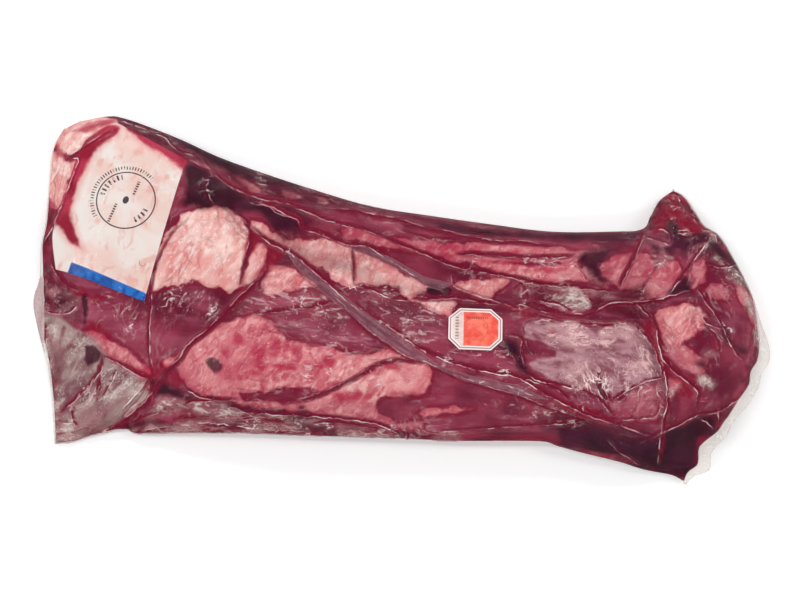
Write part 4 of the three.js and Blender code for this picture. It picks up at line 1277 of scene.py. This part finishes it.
mottle = noise(tree, 190.0, 6.0, long=1.9, turn=1.0, distortion=0.7)
blotch = noise(tree, 32.0, 5.0, long=1.4, turn=0.8, distortion=0.4, shift=0.3)
tone = attribute(tree, "tone")


def by_tone(lean, pink, cream):
    """A colour of fat for its tone: 0 is lean, a half pink and 1 cream."""
    low = mixed(tree, between(tree, tone, 0, 0.5), colour(lean), colour(pink))
    return mixed(tree, between(tree, tone, 0.5, 1), low, colour(cream))


soft = noise(tree, 70.0, 3.0, long=1.8, turn=1.0, distortion=0.5)
zone = between(tree, noise(tree, 40.0, 2.0, shift=0.6), 0.42, 0.6, 0.12, 1.0)
deep_fat, pale_fat = by_tone("8a344c", "c25a68", "e8a49e"), by_tone("b0606c", "de868a", "f6d2ca")
fat = mixed(tree, between(tree, soft, 0.36, 0.62), deep_fat, pale_fat)
brightest = by_tone("c47c86", "f0b4b0", "fff0e8")
fat = mixed(tree, times(tree, between(tree, mottle, 0.5, 0.62), zone, 0.75), fat, brightest)
darker = times(tree, between(tree, mottle, 0.47, 0.37), zone, 0.6)
fat = mixed(tree, darker, fat, by_tone("7a2640", "b44c5e", "d88680"))
flushed = times(tree, between(tree, blotch, 0.46, 0.66), between(tree, tone, 0.0, 1.0, 0.65, 0.5))
fat = mixed(tree, flushed, fat, by_tone("8a2c44", "bc3c54", "dc807e"))
marbling = noise(tree, 105.0, 4.0, long=1.5, turn=1.2, distortion=1.4, shift=0.15)
fat = mixed(tree, between(tree, marbling, 0.55, 0.66, 0.0, 0.6), fat, by_tone("7c2640", "b43650", "cc6a6c"))
# Painted sheen: fine flecks of highlight on the fat, placed by a fine noise.
grain = noise(tree, 330.0, 5.0, long=2.2, turn=0.9, shift=0.7)
fat = mixed(tree, between(tree, grain, 0.55, 0.65, 0.0, 0.4), fat, brightest)
some_lean = times(tree, between(tree, tone, 0.44, 0.28), between(tree, tone, 0.1, 0.2))
fat = mixed(tree, times(tree, between(tree, fibres, 0.46, 0.62), some_lean, 0.5), fat, colour("c88088"))
veins, _ = pulled_lines(tree, [(230.0, 2.4, 0.06)])
fat = mixed(tree, times(tree, veins, 0.4), fat, by_tone("7a2239", "b04458", "d07870"))
rough_depth = total(tree, attribute(tree, "fat"), times(tree, maths(tree, "SUBTRACT", mottle, 0.5), 6.0))
border = times(tree, between(tree, rough_depth, 3.2, 0.0, 0.0, 0.5), between(tree, tone, 0.8, 1.0, 1.0, 0.6))
fat = mixed(tree, border, fat, by_tone("7a1e38", "b03c54", "cc6066"))

blood_mask = patch_mask(tree, "blood", 2.4, 100.0, 2.2)
dark_mask = patch_mask(tree, "dark", 1.4, 110.0, 1.2)
deep_shade_mask = patch_mask(tree, "deep", 4.0, 50.0, 3.5)
fat_mask = patch_mask(tree, "fat", 3.2, 85.0, 1.0)
silver_mask = patch_mask(tree, "silverskin", 1.6, 110.0, 1.3)
skirt_mask = patch_mask(tree, "skirt", 1.5, 60.0, 2.0)
near_fat = times(tree, band(tree, attribute(tree, "fat"), -1.4, 0.6, 1.8), 0.7)
hollow_shade_mask = between(tree, attribute(tree, "hollow"), 0.15, 1.6, 0.0, 0.5)
wet = total(tree, attribute(tree, "juice"), times(tree, maths(tree, "SUBTRACT", mottle, 0.5), 0.6))
juice_line = between(tree, wet, 0.2, 0.65, 0.0, 0.92)
seams, _ = pulled_lines(tree, [(70.0, 4.0, 0.045)])
# Painted shade: the meat darkens to crimson towards the bag's edges and on its underside, less under cream
# fat.
rim = total(tree, attribute(tree, "rim"), times(tree, maths(tree, "SUBTRACT", blotch, 0.5), 24.0))
creamy = times(tree, fat_mask, between(tree, tone, 0.6, 0.95, 0.0, 0.9))
rim_shade_mask = times(tree, between(tree, rim, 13.0, 3.0, 0.0, 0.6), maths(tree, "SUBTRACT", 1.0, creamy))
# Painted light and shade along the folds of the loose skirt.
drape_light_and_shade = noise(tree, 42.0, 4.0, long=2.8, turn=0.75, distortion=0.4, shift=0.5)
skirt = mixed(tree, between(tree, drape_light_and_shade, 0.42, 0.6), colour("aa928e"), colour("74424d"))
skirt = mixed(tree, between(tree, blotch, 0.5, 0.68, 0.0, 0.5), skirt, colour("7a3446"))
shaded = between(tree, attribute(tree, "shade"), -4.0, 6.0, 0.0, 0.62)
shaded = times(tree, shaded, between(tree, blotch, 0.3, 0.55, 0.6, 1.0))

seen = mixed(tree, silver_mask, muscle, silverskin)
seen = mixed(tree, near_fat, seen, colour(JUICE_RED))
seen = mixed(tree, fat_mask, seen, fat)
seen = mixed(tree, times(tree, skirt_mask, 0.9), seen, skirt)
seen = mixed(tree, times(tree, seams, 0.45), seen, colour(JUICE_RED))
# Painted shade: dark crimson in the hollows.
seen = mixed(tree, hollow_shade_mask, seen, colour("50081f"))
seen = mixed(tree, shaded, seen, colour("36081c"))
blood_colour = mixed(tree, fat_mask, colour("860a2a"), colour("ac2444"))
seen = mixed(tree, times(tree, blood_mask, 0.85), seen, blood_colour)
# Painted shade towards the edges.
rim_shade_colour = mixed(tree, between(tree, fibres, 0.45, 0.6), colour("4c081e"), colour("8c1a36"))
seen = mixed(tree, rim_shade_mask, seen, rim_shade_colour)
# The darkest colour goes on the dark slits and holes, and as painted shade on the deep patches.
dark_colour = mixed(tree, between(tree, blotch, 0.4, 0.6), colour("260818"), colour("421028"))
darkest = maths(tree, "MAXIMUM", times(tree, dark_mask, 0.84), times(tree, deep_shade_mask, 0.92))
seen = mixed(tree, darkest, seen, dark_colour)
seen = mixed(tree, juice_line, seen, colour("740a2a"))
bump = add(tree, "ShaderNodeBump", {"Height": mottle, "Strength": 0.1, "Distance": 0.5 * MM}).outputs[0]
links = {"Base Color": seen, "Roughness": 0.6, "Specular IOR Level": 0.06, "Normal": bump}
plug(tree, surface, add(tree, "ShaderNodeBsdfPrincipled", links).outputs[0])
print("raw meat has", len(tree.nodes), "nodes")

# %% [markdown]
# ## The film's finish
#
# Clear film shows itself in three ways: a faint mirror gloss, a pale haze where it is loose and crumpled, and
# bright lines with a dark line beside them along its creases. Much of this is painted: the haze is the film's
# own milkiness with painted sheen and glints in it, the bright lines are painted highlights, and the dark
# line is juice with painted shade. The haze and the lines are a pale shader that is clear wherever there are
# none.
# A weak mirror shader is mixed over it, and held low, because a stronger one lays a grey veil over the dark
# meat.

# %% Crease group
# Bright is a painted highlight along a crest, Dark is juice with painted shade on the steep side, and Fold is
# a painted sheen on the gentle side.
crease, given, gives = new_group(
    "crease", {"Gap": 9.0, "Shine": 0.0, "Breaks": 1.0}, ["Bright", "Dark", "Fold"]
)
broken = given["Breaks"]
narrow = band(crease, given["Gap"], 0.0, 0.14, 0.36)
plug(crease, gives["Bright"], times(crease, narrow, given["Shine"], broken))
held = between(crease, given["Shine"], 0.02, 0.4)
plug(crease, gives["Dark"], times(crease, band(crease, given["Gap"], -1.2, 0.4, 1.2), held))
plug(crease, gives["Fold"], times(crease, band(crease, given["Gap"], 1.5, 0.6, 1.3), held, broken))

# %% Film material
MIRROR_AT_MOST = 0.008
tree, surface = new_material("clear shrink film", film)
breaks = between(tree, noise(tree, 100.0, 3.0), 0.4, 0.58, 0.04, 1.0)
wobble = times(tree, maths(tree, "SUBTRACT", noise(tree, 150.0, 2.0, shift=0.2), 0.5), 3.5)
bright, dark, fold = 0.0, 0.0, 0.0
for number in range(CHANNELS):
    gap = total(tree, attribute(tree, f"gap{number}"), wobble)
    links = {"Gap": gap, "Shine": attribute(tree, f"shine{number}"), "Breaks": breaks}
    one = add(tree, "ShaderNodeGroup", node_tree=crease, links=links)
    bright = maths(tree, "MAXIMUM", bright, one.outputs["Bright"])
    dark = maths(tree, "MAXIMUM", dark, one.outputs["Dark"])
    fold = maths(tree, "MAXIMUM", fold, one.outputs["Fold"])

# The fine crinkle lines are painted glints, and their ridges make a real bump.
lines, ridges = pulled_lines(tree, [(110.0, 3.0, 0.045), (260.0, 2.0, 0.08)])
links = {"Turn": 0.5, "Size": 120.0, "Long": 1.4, "Width": 0.045}
curls = add(tree, "ShaderNodeGroup", node_tree=crinkle, links=links)
speck = noise(tree, 620.0, 3.0)
cloudy = noise(tree, 34.0, 4.0)
patchy = noise(tree, 70.0, 4.0, shift=0.4)
flecks = noise(tree, 220.0, 4.0, long=2.2, turn=-0.25, distortion=0.9)

loose_mask = patch_mask(tree, "loose", 3.0, 60.0, 3.0)
tight_mask = patch_mask(tree, "tight", 2.5, 60.0, 3.0)
double_mask = patch_mask(tree, "double", 0.5, 60.0, 0.8)
glare_mask = patch_mask(tree, "glare", 2.0, 70.0, 3.2)
glitter_mask = patch_mask(tree, "glitter", 3.0, 90.0, 3.0)
blush_mask = patch_mask(tree, "blush", 2.0, 60.0, 3.0)
# Over the deep shade patches and the dark slits, the film keeps clear.
deep_shade_mask = patch_mask(tree, "deep", 4.0, 50.0, 3.5)
dark_mask = maths(tree, "MAXIMUM", deep_shade_mask, patch_mask(tree, "dark", 1.4, 110.0, 1.2))
clear_here = maths(tree, "SUBTRACT", 1.0, dark_mask)
busy = between(tree, attribute(tree, "calm"), -2.0, 1.0, 1.0, 0.15)
glint_zone = times(tree, between(tree, attribute(tree, "worms"), -4.0, 3.0), between(tree, cloudy, 0.36, 0.5))

grainy = between(tree, speck, 0.36, 0.66, 0.75, 1.25)
# Painted sheen along the drape of loose film and on the tight film over the silverskin, with painted glints
# along the crinkles.
drape_light_and_shade = noise(tree, 60.0, 5.0, long=3.0, turn=0.6, distortion=0.4, shift=0.8)
loose_haze_and_sheen = total(tree, between(tree, drape_light_and_shade, 0.44, 0.66, 0.0, 0.42), times(tree, lines, 0.45))
tight_haze_and_sheen = total(tree, between(tree, patchy, 0.35, 0.66, 0.0, 0.18), times(tree, lines, 0.5))
streaky = noise(tree, 150.0, 4.0, long=3.0, turn=0.5, shift=0.9)
glare = times(tree, glare_mask, between(tree, streaky, 0.4, 0.64, 0.08, 0.4))
glitter = times(tree, glitter_mask, between(tree, flecks, 0.51, 0.64, 0.03, 0.55))
patch_haze_and_sheen = total(tree, times(tree, loose_mask, loose_haze_and_sheen), times(tree, tight_mask, tight_haze_and_sheen), glare)
# Painted glints of fine crinkles over the whole film.
common_glints = times(tree, between(tree, cloudy, 0.42, 0.68), lines, 0.38, busy)
bare = between(tree, attribute(tree, "bare"), -0.4, 0.6)
# Painted sheen on the gentle side of each pleat.
fold_sheen = times(tree, fold, total(tree, 0.05, times(tree, loose_mask, 0.2)))
haze_and_sheen = total(tree, times(tree, patch_haze_and_sheen, grainy), common_glints, fold_sheen, glitter)
haze_and_sheen = times(tree, haze_and_sheen, clear_here)
glints = maths(tree, "MAXIMUM", curls.outputs["Line"], times(tree, lines, 0.6))
glints = times(tree, glints, glint_zone, between(tree, patchy, 0.44, 0.6), busy)
haze_and_sheen = total(tree, haze_and_sheen, times(tree, bare, 0.55), bright, times(tree, glints, 0.75), clamp=True)
haze_and_sheen = maths(tree, "MAXIMUM", haze_and_sheen, times(tree, double_mask, 0.72))
shade = times(tree, dark, 0.4, maths(tree, "SUBTRACT", 1.0, bare))
opaque = maths(tree, "MAXIMUM", haze_and_sheen, shade)

# The folded double film has a painted highlight along its middle.
middle = band(tree, attribute(tree, "double"), 2.2, 0.3, 1.6)
middle = times(tree, middle, between(tree, patchy, 0.35, 0.6))
folded = mixed(tree, middle, colour("6d3a49"), colour("936673"))
lit = mixed(tree, between(tree, patchy, 0.4, 0.62), colour("d88e9a"), colour("f6e6e4"))
tint = mixed(tree, loose_mask, colour("dab0b3"), colour("cdb7b1"))
tint = mixed(tree, glare_mask, tint, mixed(tree, loose_mask, colour("e4b8b8"), colour("d8c6c0")))
tint = mixed(tree, bare, tint, colour("f4ede7"))
tint = mixed(tree, times(tree, blush_mask, 0.7), tint, colour("98525e"))
tint = mixed(tree, times(tree, double_mask, 0.95), tint, folded)
tint = mixed(tree, between(tree, total(tree, bright, glints), 0.1, 0.6), tint, lit)
dark_wins = between(tree, maths(tree, "SUBTRACT", shade, haze_and_sheen), 0.0, 0.15)
tint = mixed(tree, dark_wins, tint, colour("6a0c2c"))

heights = total(tree, ridges, times(tree, curls.outputs["Height"], 0.6), times(tree, cloudy, 1.5))
heights = times(tree, heights, between(tree, busy, 0.15, 1.0, 0.3, 1.0))
bump = add(tree, "ShaderNodeBump", {"Height": heights, "Strength": 0.5, "Distance": 0.5 * MM}).outputs[0]
clear = add(tree, "ShaderNodeBsdfTransparent", {"Color": (1, 0.99, 0.99, 1)}).outputs[0]
links = {"Base Color": tint, "Roughness": 0.5, "Specular IOR Level": 0.05, "Alpha": opaque, "Normal": bump}
pale = add(tree, "ShaderNodeBsdfPrincipled", links).outputs[0]
links = {"Color": (0.95, 0.7, 0.73, 1), "Roughness": 0.08, "Normal": bump}
gloss = add(tree, "ShaderNodeBsdfGlossy", links).outputs[0]
fresnel = add(tree, "ShaderNodeFresnel", {"IOR": 1.3, "Normal": bump}).outputs[0]
mirrored = maths(tree, "MINIMUM", fresnel, MIRROR_AT_MOST)
whole = add(tree, "ShaderNodeMixShader", {0: mirrored, 1: pale, 2: gloss}).outputs[0]
# Light passes the film on its way to the meat, as if it weren't there, also after it has bounced.
path = add(tree, "ShaderNodeLightPath").outputs
passing = maths(tree, "MAXIMUM", path["Is Shadow Ray"], path["Is Diffuse Ray"])
plug(tree, surface, add(tree, "ShaderNodeMixShader", {0: passing, 1: whole, 2: clear}).outputs[0])
print("clear shrink film has", len(tree.nodes), "nodes")

# %% [markdown]
# ## The print on paper
#
# The label has a stamped ring with ticks and a blue band, and blood has soaked into it. The sticker has a
# double white border, a pale strip and an orange-red field. Both get plain marks, with no words on them.
# Places on the label are in millimetres from its front right corner, and on the sticker from its middle.

# %% Label material
RING_AT, RING_RADIUS = (-44.0, 67.6), 22.7
CURL_AT, CURL_RADIUS = (-12.3, 27.0), 2.6
tree, surface = new_material("label paper", label)
across, up = attribute(tree, "across"), attribute(tree, "up")
from_x, from_y = maths(tree, "SUBTRACT", across, RING_AT[0]), maths(tree, "SUBTRACT", up, RING_AT[1])
reach = maths(tree, "SQRT", total(tree, times(tree, from_x, from_x), times(tree, from_y, from_y)))
angle = maths(tree, "ARCTAN2", from_y, from_x)
ring = band(tree, reach, RING_RADIUS, 0.35, 0.3)
smudged = between(tree, noise(tree, 380.0, 2.0), 0.38, 0.5, 0.3, 1.0)
curl_x, curl_y = maths(tree, "SUBTRACT", across, CURL_AT[0]), maths(tree, "SUBTRACT", up, CURL_AT[1])
curl_reach = maths(tree, "SQRT", total(tree, times(tree, curl_x, curl_x), times(tree, curl_y, curl_y)))
curl = times(tree, band(tree, curl_reach, CURL_RADIUS, 0.1, 0.25), between(tree, curl_y, 0.8, 0.2))


def ticks(radius, height, count, start, end, gap=0.3):
    """Short marks round part of a ring, like a row of letters that can't be read."""
    turn_share = maths(tree, "FRACT", times(tree, angle, count / (2 * math.pi)))
    marks = times(tree, band(tree, turn_share, 0.5, (1 - gap) / 4, 0.08), smudged)
    arc = times(tree, between(tree, angle, start, start + 0.03), between(tree, angle, end, end - 0.03))
    return times(tree, marks, arc, band(tree, reach, radius, height / 2, 0.25))


def bars(x0, x1, y0, y1, step=None):
    """A bar between four sides, cut up into short marks if a step is given."""
    middle_x, middle_y = (x0 + x1) / 2, (y0 + y1) / 2
    within_x = band(tree, across, middle_x, (x1 - x0) / 2, 0.2)
    mask = times(tree, within_x, band(tree, up, middle_y, (y1 - y0) / 2, 0.2))
    if step:
        run = times(tree, up if y1 - y0 > x1 - x0 else across, 1 / step)
        mask = times(tree, mask, band(tree, maths(tree, "FRACT", run), 0.5, 0.25, 0.1))
    return mask


ink = ring
leaf = maths(tree, "SQRT", total(tree, times(tree, from_x, from_x, 0.16), times(tree, from_y, from_y, 0.09)))
for mark in (
    ticks(26.4, 2.6, 76, 1.1, 3.14),
    ticks(26.4, 2.6, 76, -3.14, -2.2),
    ticks(19.0, 4.0, 34, 2.1, 3.14),
    ticks(19.0, 4.0, 34, -3.14, -2.9),
    ticks(17.5, 4.0, 30, -0.85, -0.05),
    bars(-50.5, -48.7, 47, 62, 2.1),
    bars(-41.0, -39.2, 73, 85, 2.1),
    between(tree, leaf, 1.0, 0.85),
    times(tree, curl, 0.7),
):
    ink = maths(tree, "MAXIMUM", ink, mark)
blot = noise(tree, 38.0, 4.0, distortion=0.5)
soaked = noise(tree, 120.0, 4.0, long=2.0, turn=1.3, distortion=0.8, shift=0.4)
paper = mixed(tree, between(tree, blot, 0.42, 0.66), colour("ece2dc"), colour("eaccc2"))
paper = mixed(tree, between(tree, soaked, 0.54, 0.68, 0.0, 0.5), paper, colour("e2948a"))
paper = mixed(tree, times(tree, ink, 0.95), paper, colour("2b2c34"))
tilted = total(tree, up, times(tree, across, 0.028))
blue = times(tree, between(tree, tilted, 6.6, 6.1), between(tree, across, -65, -64))
blue_ink = mixed(tree, between(tree, soaked, 0.4, 0.6), colour("164f9e"), colour("2272c4"))
paper = mixed(tree, blue, paper, blue_ink)
stain_depth = attribute(tree, "stain")
stain_edge = times(tree, between(tree, stain_depth, -6.0, 1.0), 0.55)
paper = mixed(tree, stain_edge, paper, colour("e07c80"))
stained = patch_mask(tree, "stain", 1.6, 110.0, 1.6)
stain_colour = mixed(tree, between(tree, blot, 0.42, 0.58), colour("92102f"), colour("b22c48"))
paper = mixed(tree, stained, paper, stain_colour)
links = {"Base Color": paper, "Roughness": 0.7, "Specular IOR Level": 0.15}
plug(tree, surface, add(tree, "ShaderNodeBsdfPrincipled", links).outputs[0])
print("label paper has", len(tree.nodes), "nodes")

# %% Sticker material
tree, surface = new_material("printed sticker", sticker)
across, up = attribute(tree, "across"), attribute(tree, "up")
side_x, side_y = maths(tree, "ABSOLUTE", across), maths(tree, "ABSOLUTE", up)
past_x, past_y = maths(tree, "SUBTRACT", side_x, half_long), maths(tree, "SUBTRACT", side_y, half_wide)
cut = times(tree, total(tree, past_x, past_y, STICKER_CUT), 0.707)
inward = maths(tree, "MAXIMUM", past_x, past_y)
inward = times(tree, maths(tree, "MAXIMUM", inward, cut), -1.0)
wear = noise(tree, 160.0, 3.0)
print_red = mixed(tree, between(tree, wear, 0.35, 0.65), colour("ee4a3c"), colour("fa7a63"))
from_middle = maths(tree, "SQRT", total(tree, times(tree, across, across), times(tree, up, up)))
thin_ring = times(tree, band(tree, from_middle, 9.5, 0.3, 0.5), 0.35)
print_red = mixed(tree, thin_ring, print_red, colour("c83a34"))
field = times(tree, between(tree, across, -9.2, -8.8), between(tree, inward, 2.9, 3.2))
base = mixed(tree, between(tree, wear, 0.3, 0.7), colour("e3bfba"), colour("f2dcd6"))
base = mixed(tree, band(tree, inward, 1.5, 0.4, 0.15), base, colour("b58a90"))
base = mixed(tree, field, base, print_red)
marks = maths(tree, "MAXIMUM", bars(-15.2, -12.8, -9, 11, 2.6), bars(-7.0, 9.5, 8.6, 10.2, 1.7))
base = mixed(tree, times(tree, marks, 0.6), base, colour("4a2024"))
base = mixed(tree, between(tree, inward, 0.9, 0.7), base, colour("faf4f2"))
base = mixed(tree, band(tree, inward, 2.5, 0.25, 0.15), base, colour("faf4f2"))
links = {"Base Color": base, "Roughness": 0.45, "Specular IOR Level": 0.3}
plug(tree, surface, add(tree, "ShaderNodeBsdfPrincipled", links).outputs[0])
print("printed sticker has", len(tree.nodes), "nodes")

# %% [markdown]
# ## The table, the light and the end
#
# A white table, lit a little from within as a light table is, so that its shadows stay pale, and soft lights.
# The sky over the table is dark, so that the flat of the pack mirrors dark and keeps its depth, and only the
# sides of pleats and wrinkles mirror the lamps, which stand lower.

# %% Table
TABLE_WIDE, TABLE_BELOW = 6, 0.5 * MM
bpy.ops.object.select_all(action="DESELECT")
bpy.ops.mesh.primitive_plane_add(size=TABLE_WIDE, location=(0, 0, -TABLE_BELOW))
table = bpy.context.object
table.name = "table"
tree, surface = new_material("white table", table)
links = {"Base Color": (0.88, 0.88, 0.88, 1), "Roughness": 0.9, "Specular IOR Level": 0.0}
links |= {"Emission Color": (1, 1, 1, 1), "Emission Strength": 0.27}
plug(tree, surface, add(tree, "ShaderNodeBsdfPrincipled", links).outputs[0])

# %% Lights
LAMPS = {
    "back": dict(place=(-0.2, 1.7, 1.4), size=(1.4, 0.22), power=16),
    "left": dict(place=(-1.3, 0.1, 1.7), size=(0.22, 1.2), power=12.5),
    "front": dict(place=(0.5, -1.5, 1.5), size=(1.2, 0.22), power=11),
    "right": dict(place=(1.4, 0.3, 1.6), size=(0.22, 1.0), power=7.5),
}
for name, lamp in LAMPS.items():
    bpy.ops.object.light_add(type="AREA", location=lamp["place"])
    light = bpy.context.object
    light.name = name
    light.data.shape = "RECTANGLE"
    light.data.size, light.data.size_y = lamp["size"]
    light.data.energy = lamp["power"]
    light.rotation_euler = (-Vector(lamp["place"])).to_track_quat("-Z", "Y").to_euler()
world = bpy.data.worlds.new("studio")
world.use_nodes = True
sky = world.node_tree
way_up = add(sky, "ShaderNodeTexCoord").outputs["Generated"]
height = add(sky, "ShaderNodeSeparateXYZ", {0: way_up}).outputs["Z"]
brightness = between(sky, height, 0.55, 0.85, 0.63, 0.08)
plug(sky, sky.nodes["Background"].inputs["Strength"], brightness)
plug(sky, sky.nodes["Background"].inputs["Color"], (1, 1, 1, 1))
bpy.context.scene.world = world
bpy.context.scene.view_settings.view_transform = "Standard"

# %% Joining the frame
for piece, node, slot in (
    (film, "sealed_bag", "meat_in_film"),
    (label, "paper_label", "label_paper"),
    (sticker, "octagonal_sticker", "sticker_print"),
):
    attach(piece, "root")
    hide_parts(node)
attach(meat, "root")
